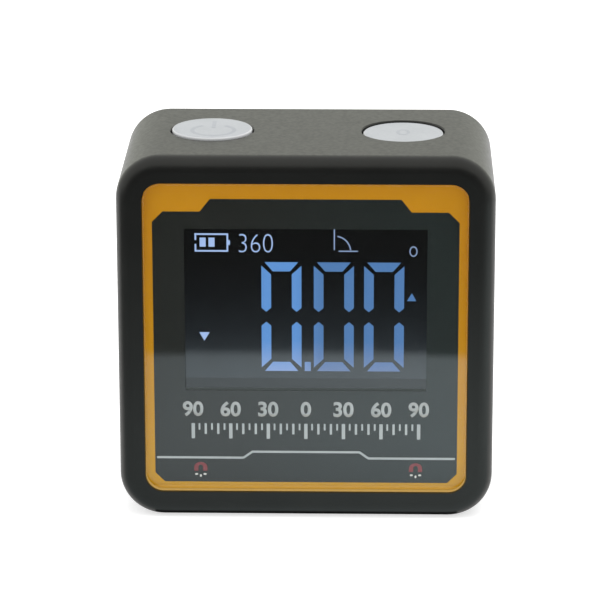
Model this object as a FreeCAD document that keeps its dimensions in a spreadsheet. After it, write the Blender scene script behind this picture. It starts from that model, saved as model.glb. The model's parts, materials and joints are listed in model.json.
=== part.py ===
"""A pocket inclinometer: a square black box with a lit display, two top buttons and a battery bay.

Millimetres. X runs to the viewer's right, Y from the front to the back, Z up.
The origin is the middle of the base, and the measuring faces are the base and the two sides.
"""
import FreeCAD, Part
import math
import os
import Sketcher

Vector = FreeCAD.Vector

# Every size that can be set by itself: name, millimetres, what it is
SIZES = (
    ("body_width", 55.0, "housing, side to side"),
    ("body_height", 55.0, "housing, base to top"),
    ("body_depth", 30.0, "housing, front to back"),
    ("corner_round", 6.5, "radius of the four long edges"),
    ("front_round", 2.2, "rounding of the front rim"),
    ("back_round", 0.9, "rounding of the back rim"),
    ("side_wall", 2.0, "housing walls"),
    ("front_wall", 1.7, "wall behind the panel recess"),
    ("cut_over", 1.0, "how far a cut runs past the face it opens"),
    ("panel_side", 3.9, "housing beside the front panel"),
    ("panel_below", 4.1, "housing below the front panel"),
    ("panel_above", 3.9, "housing above the front panel"),
    ("panel_round", 2.6, "front panel corners"),
    ("panel_gap", 0.1, "panel to recess, all round"),
    ("lens_inset", 0.1, "lens below the front rim"),
    ("lens_thick", 1.2, "clear lens"),
    ("lens_chamfer", 0.2, "front edge of the lens"),
    ("film_thick", 0.15, "printed films behind the lens"),
    ("tape_thick", 0.25, "tape that holds the panel"),
    ("tape_setback", 0.4, "tape edge inside the panel edge"),
    ("tape_gap", 0.2, "tape edge outside the display opening"),
    ("band_side", 1.32, "coloured border at the sides"),
    ("band_bottom", 1.05, "coloured border at the bottom"),
    ("band_top", 2.5, "coloured border at the top middle"),
    ("band_shoulder", 4.4, "coloured border at the top corners"),
    ("shoulder_inner", 13.85, "half width of the raised middle at the top"),
    ("shoulder_slant", 1.5, "sideways run of the slant beside it"),
    ("top_cut", 1.57, "cut corner at the top of the dark field"),
    ("bottom_cut", 1.42, "cut corner at the bottom of the dark field"),
    ("window_side", 5.95, "panel beside the display window"),
    ("window_below", 15.33, "panel below the display window"),
    ("window_above", 7.0, "panel above the display window"),
    ("glass_lap", 2.9, "display glass past the window, left and right"),
    ("glass_end_lap", 3.175, "front display glass past the window, top and bottom"),
    ("glass_thick", 0.8, "each display glass"),
    ("glass_ledge", 2.7, "contact ledge under the rear glass"),
    ("glass_gap", 0.2, "display glass to the opening"),
    ("display_setback", 0.25, "display front behind the recess floor"),
    ("polariser_thick", 0.2, "polarising sheets"),
    ("polariser_margin", 0.5, "glass left bare around the front sheet"),
    ("guide_thick", 3.2, "light guide behind the display"),
    ("guide_margin", 1.1, "glass edge to light guide edge"),
    ("guide_gap", 0.15, "light guide to its frame"),
    ("guide_air", 0.05, "rear sheet to light guide"),
    ("reflector_thick", 0.2, "white sheet behind the light guide"),
    ("frame_margin", 1.0, "display frame past the glass"),
    ("strip_height", 2.2, "contact strip, bottom to top"),
    ("strip_margin", 1.5, "glass edge to contact strip end"),
    ("strip_gap", 0.15, "contact strip to its slot"),
    ("led_wide", 1.2, "display lamps, away from the guide"),
    ("led_deep", 2.2, "display lamps, off the board"),
    ("led_tall", 3.0, "display lamps, along the guide"),
    ("led_gap", 0.1, "display lamps to the frame"),
    ("led_end", 7.55, "lamp centre to the end of the light guide"),
    ("board_thick", 1.2, "circuit boards"),
    ("board_air", 0.1, "reflector to main board"),
    ("board_gap", 0.6, "main board to the housing walls"),
    ("board_top_gap", 1.8, "main board to the top wall beside its tab"),
    ("board_cut", 3.25, "cut upper corners of the main board"),
    ("board_tab", 0.3, "main board's top tab past its posts"),
    ("boss_gap", 0.4, "main board to the cover bosses"),
    ("post_radius", 1.7, "main board posts"),
    ("post_hole", 0.75, "pilot holes in the posts"),
    ("post_low_x", 13.0, "lower posts from the middle"),
    ("post_low_z", 9.0, "lower posts above the base"),
    ("post_high_x", 4.8, "upper posts from the middle"),
    ("post_gap", 0.1, "upper posts to the display frame"),
    ("screw_head", 1.5, "board screw heads, radius"),
    ("screw_head_high", 1.0, "board screw heads"),
    ("screw_shank", 0.7, "board screw shanks, radius"),
    ("screw_grip", 2.6, "board screws into plastic"),
    ("cover_thick", 2.0, "rear cover plate"),
    ("cover_inset", 0.2, "rear cover below the back rim"),
    ("cover_gap", 0.15, "rear cover to the walls"),
    ("boss_radius", 2.9, "cover bosses"),
    ("boss_hole", 0.95, "pilot holes in the cover bosses"),
    ("boss_hole_deep", 5.0, "depth of those holes"),
    ("boss_offset", 1.2, "boss outside the corner's centre, each way"),
    ("boss_top_length", 5.4, "length of the two upper bosses"),
    ("cover_screw_head", 1.9, "cover screw heads, radius"),
    ("cover_screw_high", 1.0, "cover screw heads"),
    ("cover_screw_shank", 0.9, "cover screw shanks, radius"),
    ("cover_screw_grip", 4.0, "cover screws into plastic"),
    ("head_gap", 0.2, "screw head to its counterbore"),
    ("shank_gap", 0.25, "screw shank to its clearance hole"),
    ("cell_radius", 5.25, "battery cell"),
    ("cell_edge", 0.5, "rounded rims of the cell"),
    ("nub_radius", 1.9, "cell nub"),
    ("nub_length", 1.0, "cell nub"),
    ("cell_gap", 0.25, "cell to bay walls"),
    ("bay_wall", 1.0, "walls of the battery bay"),
    ("bay_side", 0.72, "side walls of the bay to the housing"),
    ("bay_low", 10.2, "bottom of the bay above the base"),
    ("spring_length", 2.4, "battery spring as fitted"),
    ("spring_wire", 0.5, "battery spring wire, diameter"),
    ("spring_wide", 3.4, "spring coil radius at the plate"),
    ("spring_narrow", 1.9, "spring coil radius at the cell"),
    ("contact_thick", 0.3, "battery contact plates"),
    ("contact_size", 8.0, "battery contact plates, square"),
    ("contact_gap", 0.03, "spring and nub to what they press on"),
    ("tab_wide", 2.0, "solder tabs on the contacts"),
    ("tab_reach", 1.3, "solder tabs past the bay floor"),
    ("tab_gap", 0.15, "solder tab to its slot"),
    ("door_thick", 1.4, "battery door"),
    ("door_ledge", 1.2, "door past the bay, top and bottom"),
    ("door_lap", 0.45, "door past the bay, left and right"),
    ("door_gap", 0.15, "door to its recess"),
    ("door_round", 1.5, "door corners"),
    ("door_lip", 0.7, "cover lip over the door's hooks"),
    ("hook_long", 1.0, "door hooks"),
    ("hook_thick", 0.7, "door hooks"),
    ("hook_wide", 5.0, "door hooks"),
    ("hook_x", 14.0, "door hooks from the middle"),
    ("hook_gap", 0.1, "hook to lip"),
    ("notch_gap", 0.4, "hook to the ends of its notch"),
    ("latch_wide", 10.0, "latch at the top of the door"),
    ("latch_high", 3.0, "latch above the door"),
    ("latch_finger", 0.8, "thickness of the latch finger"),
    ("latch_deep", 3.6, "latch finger behind the door"),
    ("latch_nib", 0.7, "height of the latch nib"),
    ("latch_gap", 0.3, "latch to its window"),
    ("grip_wide", 14.0, "grip grooves in the door"),
    ("grip_high", 0.7, "each grip groove"),
    ("grip_deep", 0.35, "depth of the grip grooves"),
    ("grip_step", 1.6, "groove to groove"),
    ("grip_drop", 2.0, "top groove below the door's top edge"),
    ("pad_thick", 0.6, "foam pad on the door"),
    ("pad_side", 6.78, "foam pad to the sides of the bay"),
    ("pad_end", 3.5, "foam pad to the top and bottom of the bay"),
    ("pad_air", 0.1, "foam pad to the cells"),
    ("button_radius", 5.93, "button caps"),
    ("button_gap", 0.22, "button to its hole"),
    ("button_back", 1.25, "buttons and switches behind the middle of the top"),
    ("button_side", 0.28, "button flange to the corner round"),
    ("button_round", 0.32, "rounded rim of the button caps"),
    ("power_rise", 0.35, "left button above the top face"),
    ("zero_rise", -0.2, "right button above the top face"),
    ("flange_lap", 0.45, "button flange past its hole"),
    ("flange_thick", 0.9, "button flange"),
    ("flange_gap", 0.05, "flange to the top wall"),
    ("button_skin", 1.1, "thickness of the button's top"),
    ("stem_radius", 1.6, "button stems"),
    ("hole_chamfer", 0.15, "rim of the button holes"),
    ("switch_side", 6.0, "push switch, square"),
    ("switch_high", 3.5, "push switch body"),
    ("switch_well", 0.9, "depth of the well in the switch"),
    ("plunger_radius", 1.65, "switch plunger"),
    ("plunger_gap", 0.1, "plunger to its well"),
    ("plunger_rise", 0.85, "plunger above the switch"),
    ("plunger_air", 0.03, "stem to plunger"),
    ("switch_drop", 3.3, "top wall to the push switches"),
    ("press_travel", 0.4, "how far a button goes down"),
    ("key_edge", 2.4, "button board past the switches"),
    ("key_back", 2.1, "button board behind its rear screw"),
    ("key_boss_radius", 2.0, "bosses that hold the button board"),
    ("key_boss_air", 0.9, "front boss to the header pins"),
    ("key_boss_apart", 1.2, "boss to boss"),
    ("magnet_radius", 4.0, "base magnets"),
    ("magnet_thick", 2.6, "base magnets"),
    ("magnet_side", 1.65, "magnet pocket to the corner round"),
    ("magnet_inset", 0.1, "magnets above the base face"),
    ("magnet_gap", 0.05, "magnet to its pocket"),
    ("magnet_wall", 1.3, "wall round a magnet"),
    ("magnet_roof", 0.8, "floor over a magnet"),
    ("chip_side", 7.0, "controller chip, square"),
    ("chip_high", 1.4, "controller chip"),
    ("chip_x", -7.0, "controller chip from the middle"),
    ("chip_z", 26.0, "controller chip above the base"),
    ("pin_step", 0.8, "chip pin to pin"),
    ("pin_wide", 0.35, "chip pins"),
    ("pin_long", 0.9, "chip pins past the chip"),
    ("pin_thick", 0.2, "chip pins"),
    ("sensor_side", 5.0, "tilt sensor, square"),
    ("sensor_high", 1.3, "tilt sensor"),
    ("sensor_x", 6.0, "tilt sensor from the middle"),
    ("crystal_radius", 1.5, "timing crystal can"),
    ("crystal_long", 6.0, "timing crystal can"),
    ("crystal_side", 8.9, "crystal to the main board's left edge"),
    ("crystal_drop", 3.0, "crystal below the button board"),
    ("can_radius", 2.0, "supply capacitor"),
    ("can_high", 5.2, "supply capacitor"),
    ("can_x", 0.5, "supply capacitor from the middle"),
    ("can_drop", 6.0, "supply capacitor below the button board"),
    ("can_edge", 0.4, "rounded rim of the capacitor"),
    ("chip_part_long", 1.6, "small chip parts"),
    ("chip_part_wide", 0.8, "small chip parts"),
    ("chip_part_high", 0.7, "small chip parts"),
    ("chip_part_step", 3.2, "small chip part to the next"),
    ("chip_part_z", 15.5, "row of small chip parts above the base"),
    ("header_pitch", 2.54, "header pin to pin"),
    ("header_pin", 0.6, "header pins, square"),
    ("header_block", 2.4, "header block, square"),
    ("header_clear", 0.1, "header block to the upright legs of its pins"),
    ("header_edge", 1.1, "header pins to the button board's front edge"),
    ("header_over", 0.6, "header pins above the button board"),
    ("wire_radius", 0.55, "battery leads"),
    ("wire_shift", 9.0, "sideways step of the leads"),
)


class Size:
    """A length that knows its number and the sheet formula that gives it."""

    def __init__(self, number, formula):
        self.number = number
        self.formula = formula

    def __add__(self, other):
        return Size(self.number + number_of(other), "(%s + %s)" % (self.formula, formula_of(other)))

    def __radd__(self, other):
        return Size(number_of(other) + self.number, "(%s + %s)" % (formula_of(other), self.formula))

    def __sub__(self, other):
        return Size(self.number - number_of(other), "(%s - %s)" % (self.formula, formula_of(other)))

    def __rsub__(self, other):
        return Size(number_of(other) - self.number, "(%s - %s)" % (formula_of(other), self.formula))

    def __mul__(self, other):
        return Size(self.number * number_of(other), "(%s * %s)" % (self.formula, formula_of(other)))

    def __rmul__(self, other):
        return self * other

    def __truediv__(self, other):
        return Size(self.number / number_of(other), "(%s / %s)" % (self.formula, formula_of(other)))

    def __neg__(self):
        return Size(-self.number, "(-1 * %s)" % self.formula)


def number_of(value):
    return value.number if isinstance(value, Size) else float(value)


def formula_of(value):
    return value.formula if isinstance(value, Size) else "(%s)" % float(value)


class Namespace:
    """Holds one Size for each row of the sheet."""


doc = FreeCAD.newDocument("inclinometer")
sheet = doc.addObject("Spreadsheet::Sheet", "dims")
d = Namespace()
for row, (size_name, size_value, size_note) in enumerate(SIZES, start=1):
    sheet.set("A%d" % row, size_name)
    sheet.set("B%d" % row, str(size_value))
    sheet.setAlias("B%d" % row, size_name)
    sheet.set("C%d" % row, size_note)
    setattr(d, size_name, Size(size_value, "dims." + size_name))
doc.recompute()

ZERO = Size(0.0, "0")
MIRRORED = (-1, 1)
QUARTER = 90
GRIP_GROOVE_COUNT = 5
CHIP_PINS = 7
CHIP_PARTS = 6
HEADER_PINS = 4
SPRING_TURNS = 2.5
ARCS_PER_TURN = 4
BEND_SHARE = 0.45
HEAD_CROWN_SHARE = 0.7
GAP_SHARES = (0.0, 0.25, 0.5, 0.75)
TO_BACK = ((1, 0, 0), -QUARTER)
TO_DOWN = ((1, 0, 0), 2 * QUARTER)
TO_RIGHT = ((0, 1, 0), QUARTER)
TO_LEFT = ((0, 1, 0), -QUARTER)
nodes = []


# Helpers that bind sizes to the sheet

def bind(thing, path, value):
    """Ties one property to its sheet formula."""
    thing.setExpression(path, formula_of(value))


def keep(thing, name):
    """Names a finished sub-part, whose label is its file's name."""
    thing.Label = name
    nodes.append(thing)
    return thing


def move(thing, x=ZERO, y=ZERO, z=ZERO, turn=None):
    """Places a thing, turned about (axis, degrees) first."""
    rotation = FreeCAD.Rotation(Vector(*turn[0]), turn[1]) if turn else FreeCAD.Rotation()
    thing.Placement = FreeCAD.Placement(Vector(number_of(x), number_of(y), number_of(z)), rotation)
    bind(thing, "Placement.Base.x", x)
    bind(thing, "Placement.Base.y", y)
    bind(thing, "Placement.Base.z", z)
    return thing


def new_body(name):
    return doc.addObject("PartDesign::Body", name)


def new_sketch(body, role, offset):
    """A sketch on one of the body's own origin planes, set off along that plane's normal."""
    plane = next(item for item in body.Origin.OriginFeatures if item.Role == role)
    sketch = body.newObject("Sketcher::SketchObject", body.Name + "_sketch")
    sketch.AttachmentSupport = [(plane, "")]
    sketch.MapMode = "FlatFace"
    sketch.AttachmentOffset = FreeCAD.Placement(Vector(0, 0, number_of(offset)), FreeCAD.Rotation())
    bind(sketch, "AttachmentOffset.Base.z", offset)
    return sketch


def face_sketch(body, y):
    """A sketch seen from the front, in the plane at this Y; its normal points to the front."""
    return new_sketch(body, "XZ_Plane", -y)


def level_sketch(body, z):
    """A sketch seen from above, in the plane at this height; its normal points up."""
    return new_sketch(body, "XY_Plane", z)


def pin_point(sketch, item, corner, x, y):
    """Fixes one point of a sketch at (x, y) from its origin."""
    for kind, value in (("DistanceX", x), ("DistanceY", y)):
        index = sketch.addConstraint(Sketcher.Constraint(kind, -1, 1, item, corner, number_of(value)))
        bind(sketch, "Constraints[%d]" % index, value)


def polygon(sketch, points):
    """A closed outline of straight lines through the points."""
    flat = [Vector(number_of(x), number_of(y), 0) for x, y in points]
    count = len(points)
    lines = [sketch.addGeometry(Part.LineSegment(flat[i], flat[(i + 1) % count])) for i in range(count)]
    for i in range(count):
        sketch.addConstraint(Sketcher.Constraint("Coincident", lines[i], 2, lines[(i + 1) % count], 1))
        pin_point(sketch, lines[i], 1, *points[i])
    return sketch


def rectangle(sketch, x, y, wide, high):
    """A rectangle about the point (x, y)."""
    left, right, low, top = x - wide / 2, x + wide / 2, y - high / 2, y + high / 2
    return polygon(sketch, [(left, low), (right, low), (right, top), (left, top)])


def circle(sketch, x, y, radius):
    centre = Vector(number_of(x), number_of(y), 0)
    item = sketch.addGeometry(Part.Circle(centre, Vector(0, 0, 1), number_of(radius)))
    pin_point(sketch, item, 3, x, y)
    index = sketch.addConstraint(Sketcher.Constraint("Radius", item, number_of(radius)))
    bind(sketch, "Constraints[%d]" % index, radius)
    return sketch


def rounded(sketch, x, y, wide, high, radius):
    """A rectangle with round corners about the point (x, y)."""
    half_wide, half_high, r = number_of(wide) / 2, number_of(high) / 2, number_of(radius)
    cx, cy = number_of(x), number_of(y)
    corners = ((-1, -1, 2), (1, -1, 3), (1, 1, 0), (-1, 1, 1))
    arcs = []
    for sx, sy, quarters in corners:
        centre = Vector(cx + sx * (half_wide - r), cy + sy * (half_high - r), 0)
        round_edge = Part.Circle(centre, Vector(0, 0, 1), r)
        first = quarters * math.pi / 2
        arcs.append(sketch.addGeometry(Part.ArcOfCircle(round_edge, first, first + math.pi / 2)))
    sides = []
    for i in range(4):
        begin = sketch.getPoint(arcs[i], 2)
        end = sketch.getPoint(arcs[(i + 1) % 4], 1)
        sides.append(sketch.addGeometry(Part.LineSegment(begin, end)))
    for i in range(4):
        sketch.addConstraint(Sketcher.Constraint("Tangent", arcs[i], 2, sides[i], 1))
        sketch.addConstraint(Sketcher.Constraint("Tangent", sides[i], 2, arcs[(i + 1) % 4], 1))
        sketch.addConstraint(Sketcher.Constraint("Vertical" if i % 2 else "Horizontal", sides[i]))
    for i in range(1, 4):
        sketch.addConstraint(Sketcher.Constraint("Equal", arcs[0], arcs[i]))
    index = sketch.addConstraint(Sketcher.Constraint("Radius", arcs[0], r))
    bind(sketch, "Constraints[%d]" % index, radius)
    pin_point(sketch, arcs[0], 3, x - wide / 2 + radius, y - high / 2 + radius)
    for kind, first, second, span in (("DistanceX", 0, 1, wide), ("DistanceY", 1, 2, high)):
        reach = span - 2 * radius
        rule = Sketcher.Constraint(kind, arcs[first], 3, arcs[second], 3, number_of(reach))
        bind(sketch, "Constraints[%d]" % sketch.addConstraint(rule), reach)
    return sketch


def pad(body, sketch, length, toward):
    feature = body.newObject("PartDesign::Pad", body.Name + "_pad")
    feature.Profile = sketch
    feature.Reversed = toward in ("back", "down")
    bind(feature, "Length", length)
    return feature


def pocket(body, sketch, length, toward):
    feature = body.newObject("PartDesign::Pocket", body.Name + "_pocket")
    feature.Profile = sketch
    feature.Reversed = toward in ("front", "up")
    bind(feature, "Length", length)
    return feature


def edge_names(feature, wanted):
    """Names of the feature's edges whose every point passes the test."""
    found = []
    for number, edge in enumerate(feature.Shape.Edges, start=1):
        if all(wanted(vertex.Point) for vertex in edge.Vertexes):
            found.append("Edge%d" % number)
    return found


def dress(body, kind, feature, size, wanted):
    """A fillet or chamfer on the edges that pass the test."""
    doc.recompute()
    dressing = body.newObject("PartDesign::" + kind, body.Name + "_" + kind.lower())
    dressing.Base = (feature, edge_names(feature, wanted))
    bind(dressing, "Radius" if kind == "Fillet" else "Size", size)
    return dressing


def near(a, b):
    return abs(a - b) < 1e-5


def turned(name, profile):
    """A turned piece about its own Z axis, from points (radius, height)."""
    body = new_body(name)
    sketch = polygon(new_sketch(body, "XZ_Plane", ZERO), profile)
    turn = body.newObject("PartDesign::Revolution", name + "_turn")
    turn.Profile = sketch
    turn.ReferenceAxis = (sketch, ["V_Axis"])
    turn.Angle = 360
    return body


def block(name, x, y, z, wide, deep, high):
    """A plain block: x is its middle, y its front and z its underside."""
    box = doc.addObject("Part::Box", name)
    bind(box, "Length", wide)
    bind(box, "Width", deep)
    bind(box, "Height", high)
    return move(box, x - wide / 2, y, z)


def rod(name, radius, length, x, y, z, turn=None):
    """A plain cylinder from the point (x, y, z) along Z, or turned from there."""
    cylinder = doc.addObject("Part::Cylinder", name)
    bind(cylinder, "Radius", radius)
    bind(cylinder, "Height", length)
    return move(cylinder, x, y, z, turn)


def joined(name, pieces):
    fuse = doc.addObject("Part::MultiFuse", name)
    fuse.Shapes = pieces
    return fuse


def without(name, base, tool):
    cut = doc.addObject("Part::Cut", name)
    cut.Base = base
    cut.Tool = tool
    return cut


def group(name, pieces):
    """Several separate solids of one kind in one node."""
    compound = doc.addObject("Part::Compound", name)
    compound.Links = pieces
    return keep(compound, name)


# Levels front to back, worked out from the layers that they stack

front_y = -d.body_depth / 2
back_y = d.body_depth / 2
lens_y = front_y + d.lens_inset
film_y = lens_y + d.lens_thick
tape_y = film_y + d.film_thick
floor_y = tape_y + d.tape_thick
wall_y = floor_y + d.front_wall
display_y = floor_y + d.display_setback
glass_y = display_y + d.polariser_thick
rear_glass_y = glass_y + d.glass_thick
rear_sheet_y = rear_glass_y + d.glass_thick
guide_y = rear_sheet_y + d.polariser_thick + d.guide_air
reflector_y = guide_y + d.guide_thick
board_y = reflector_y + d.reflector_thick + d.board_air
parts_y = board_y + d.board_thick
cover_out_y = back_y - d.cover_inset
cover_y = cover_out_y - d.cover_thick
door_y = cover_out_y - d.door_thick
cell_y = door_y - d.pad_thick - d.pad_air - d.cell_radius
bay_y = cell_y - d.cell_radius - d.cell_gap
bay_front_y = bay_y - d.bay_wall

# Places across and up

inner_x = d.body_width / 2 - d.side_wall
inner_top = d.body_height - d.side_wall
board_side = inner_x - d.board_gap
flat_x = d.body_width / 2 - d.corner_round
panel_wide = d.body_width - 2 * d.panel_side
panel_high = d.body_height - d.panel_below - d.panel_above
panel_mid = d.panel_below + panel_high / 2
window_wide = panel_wide - 2 * d.window_side
window_high = panel_high - d.window_below - d.window_above
window_mid = d.panel_below + d.window_below + window_high / 2
glass_wide = window_wide + 2 * d.glass_lap
glass_high = window_high + 2 * d.glass_end_lap
bay_half = inner_x - d.bay_side - d.bay_wall
cell_long = 2 * (bay_half - d.contact_thick - d.contact_gap) - d.spring_length
cell_pitch = 2 * (d.cell_radius + d.cell_gap)
bay_high = 2 * cell_pitch
low_cell_z = d.bay_low + cell_pitch / 2
high_cell_z = low_cell_z + cell_pitch
door_low = d.bay_low - d.door_ledge
door_top = d.bay_low + bay_high + d.door_ledge
door_wide = 2 * (bay_half + d.door_lap)
glass_low = window_mid - glass_high / 2
glass_top = window_mid + glass_high / 2
rear_glass_high = glass_high - d.glass_ledge
guide_wide = glass_wide - 2 * d.guide_margin
guide_high = rear_glass_high - 2 * d.guide_margin
guide_mid = glass_top - rear_glass_high / 2
strip_mid = glass_low + d.glass_ledge / 2
boss_x = flat_x + d.boss_offset
boss_low_z = d.corner_round - d.boss_offset
boss_top_z = d.body_height - d.corner_round + d.boss_offset
post_high_z = glass_top + d.frame_margin + d.post_gap + d.post_radius
switch_top_z = inner_top - d.switch_drop
key_top_z = switch_top_z - d.switch_high
key_board_z = key_top_z - d.board_thick
button_hole = d.button_radius + d.button_gap
button_flange = button_hole + d.flange_lap
button_x = flat_x - d.button_side - button_flange
magnet_hole = d.magnet_radius + d.magnet_gap
magnet_x = flat_x - d.magnet_side - magnet_hole
header_y = parts_y + d.header_block / 2 + d.header_clear + d.header_pin / 2
key_front_y = header_y - d.header_edge
key_boss_y = header_y + d.header_pin / 2 + d.key_boss_air + d.key_boss_radius
key_bosses = [key_boss_y, key_boss_y + 2 * d.key_boss_radius + d.key_boss_apart]
key_back_y = key_bosses[-1] + d.key_back
plunger_top_z = switch_top_z + d.plunger_rise
cover_screws = [(side * boss_x, z) for side in MIRRORED for z in (boss_low_z, boss_top_z)]
board_screws = [(side * d.post_low_x, d.post_low_z) for side in MIRRORED]
board_screws += [(side * d.post_high_x, post_high_z) for side in MIRRORED]


def housing_shell(body):
    """The moulded outside: a rounded box, open at the back."""
    outside = rounded(face_sketch(body, front_y), ZERO, d.body_height / 2, d.body_width, d.body_height,
                      d.corner_round)
    solid = pad(body, outside, d.body_depth, "back")
    front = number_of(front_y)
    rim = dress(body, "Fillet", solid, d.front_round, lambda p: near(p.y, front))
    back = number_of(back_y)
    dress(body, "Fillet", rim, d.back_round, lambda p: near(p.y, back))
    inside = rounded(face_sketch(body, back_y), ZERO, d.body_height / 2, 2 * inner_x,
                     d.body_height - 2 * d.side_wall, d.corner_round - d.side_wall)
    pocket(body, inside, back_y - wall_y, "front")


def housing_front(body):
    """The stepped recess of the panel, and the opening that the display looks through."""
    recess = rounded(face_sketch(body, front_y), ZERO, panel_mid, panel_wide + 2 * d.panel_gap,
                     panel_high + 2 * d.panel_gap, d.panel_round + d.panel_gap)
    pocket(body, recess, floor_y - front_y, "back")
    opening = rectangle(face_sketch(body, floor_y), ZERO, window_mid, glass_wide + 2 * d.glass_gap,
                        glass_high + 2 * d.glass_gap)
    pocket(body, opening, d.front_wall, "back")


def housing_bosses(body):
    """Screw bosses for the rear cover, posts for the main board and bosses for the button board."""
    low = face_sketch(body, wall_y)
    high = face_sketch(body, cover_y - d.boss_top_length)
    posts = face_sketch(body, wall_y)
    for side in MIRRORED:
        circle(low, side * boss_x, boss_low_z, d.boss_radius)
        circle(high, side * boss_x, boss_top_z, d.boss_radius)
    for x, z in board_screws:
        circle(posts, x, z, d.post_radius)
    pad(body, low, cover_y - wall_y, "back")
    pad(body, high, d.boss_top_length, "back")
    pad(body, posts, board_y - wall_y, "back")
    hung = level_sketch(body, inner_top)
    for y in key_bosses:
        circle(hung, ZERO, y, d.key_boss_radius)
    pad(body, hung, inner_top - key_top_z, "down")


def housing_holes(body):
    """Pilot holes in the bosses, the button holes and the magnet pockets."""
    cover_pilots = face_sketch(body, cover_y)
    for x, z in cover_screws:
        circle(cover_pilots, x, z, d.boss_hole)
    pocket(body, cover_pilots, d.boss_hole_deep, "front")
    board_pilots = face_sketch(body, board_y)
    for x, z in board_screws:
        circle(board_pilots, x, z, d.post_hole)
    pocket(body, board_pilots, board_y - wall_y, "front")
    key_pilots = level_sketch(body, key_top_z)
    for y in key_bosses:
        circle(key_pilots, ZERO, y, d.post_hole)
    pocket(body, key_pilots, inner_top - key_top_z, "up")
    buttons = level_sketch(body, d.body_height)
    for side in MIRRORED:
        circle(buttons, side * button_x, d.button_back, button_hole)
    cut = pocket(body, buttons, d.side_wall, "down")
    dress(body, "Chamfer", cut, d.hole_chamfer, on_button_rim)


def on_button_rim(point):
    """True for a point on the upper rim of a button hole."""
    from_axis = math.hypot(abs(point.x) - button_x.number, point.y - d.button_back.number)
    return near(point.z, d.body_height.number) and near(from_axis, button_hole.number)


def housing_magnet_seats(body):
    """Round pads on the base wall with a pocket under each."""
    pads = level_sketch(body, d.side_wall)
    pockets = level_sketch(body, ZERO)
    for side in MIRRORED:
        circle(pads, side * magnet_x, ZERO, magnet_hole + d.magnet_wall)
        circle(pockets, side * magnet_x, ZERO, magnet_hole)
    pocket_deep = d.magnet_inset + d.magnet_thick + d.magnet_gap
    pad(body, pads, pocket_deep + d.magnet_roof - d.side_wall, "up")
    pocket(body, pockets, pocket_deep, "up")


def make_front_housing():
    body = new_body("front_housing")
    housing_shell(body)
    housing_front(body)
    housing_bosses(body)
    housing_magnet_seats(body)
    housing_holes(body)
    keep(body, "front_housing")


def cover_plate(body):
    """The inset back plate with the battery bay moulded on its inside."""
    plate = rounded(face_sketch(body, cover_y), ZERO, d.body_height / 2, 2 * (inner_x - d.cover_gap),
                    d.body_height - 2 * (d.side_wall + d.cover_gap),
                    d.corner_round - d.side_wall - d.cover_gap)
    pad(body, plate, d.cover_thick, "back")
    bay_mid = d.bay_low + bay_high / 2
    well = rectangle(face_sketch(body, bay_front_y), ZERO, bay_mid, 2 * (bay_half + d.bay_wall),
                     bay_high + 2 * d.bay_wall)
    pad(body, well, cover_y - bay_front_y, "back")
    bay = rectangle(face_sketch(body, bay_y), ZERO, bay_mid, 2 * bay_half, bay_high)
    pocket(body, bay, back_y - bay_y, "back")


def cover_door_seat(body):
    """The door's recess, the notches for its hooks and the window for its latch."""
    recess = rounded(face_sketch(body, door_y), ZERO, (door_low + door_top) / 2, door_wide + 2 * d.door_gap,
                     door_top - door_low + 2 * d.door_gap, d.door_round + d.door_gap)
    pocket(body, recess, back_y - door_y, "back")
    notches = face_sketch(body, cover_y)
    notch_low = door_low - d.hook_long - d.notch_gap
    for side in MIRRORED:
        rectangle(notches, side * d.hook_x, (notch_low + d.bay_low) / 2, d.hook_wide + 2 * d.notch_gap,
                  d.bay_low - notch_low)
    pocket(body, notches, d.cover_thick - d.door_lip, "back")
    window = face_sketch(body, cover_y)
    window_low = d.bay_low + bay_high + d.bay_wall
    window_top = door_top + d.latch_high + d.latch_gap
    rectangle(window, ZERO, (window_low + window_top) / 2, d.latch_wide + 2 * d.latch_gap,
              window_top - window_low)
    pocket(body, window, back_y - cover_y, "back")


def cover_holes(body):
    """Counterbored screw holes, and slots for the solder tabs."""
    holes = face_sketch(body, cover_y)
    heads = face_sketch(body, cover_out_y - d.cover_screw_high)
    for x, z in cover_screws:
        circle(holes, x, z, d.cover_screw_shank + d.shank_gap)
        circle(heads, x, z, d.cover_screw_head + d.head_gap)
    pocket(body, holes, back_y - cover_y, "back")
    pocket(body, heads, back_y - cover_out_y + d.cover_screw_high, "back")
    slots = face_sketch(body, bay_front_y)
    for z in (low_cell_z, high_cell_z):
        rectangle(slots, bay_half - d.contact_thick / 2, z, d.contact_thick + 2 * d.tab_gap,
                  d.tab_wide + 2 * d.tab_gap)
    pocket(body, slots, d.bay_wall, "back")


def make_rear_cover():
    body = new_body("rear_cover")
    cover_plate(body)
    cover_door_seat(body)
    cover_holes(body)
    keep(body, "rear_cover")


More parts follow.
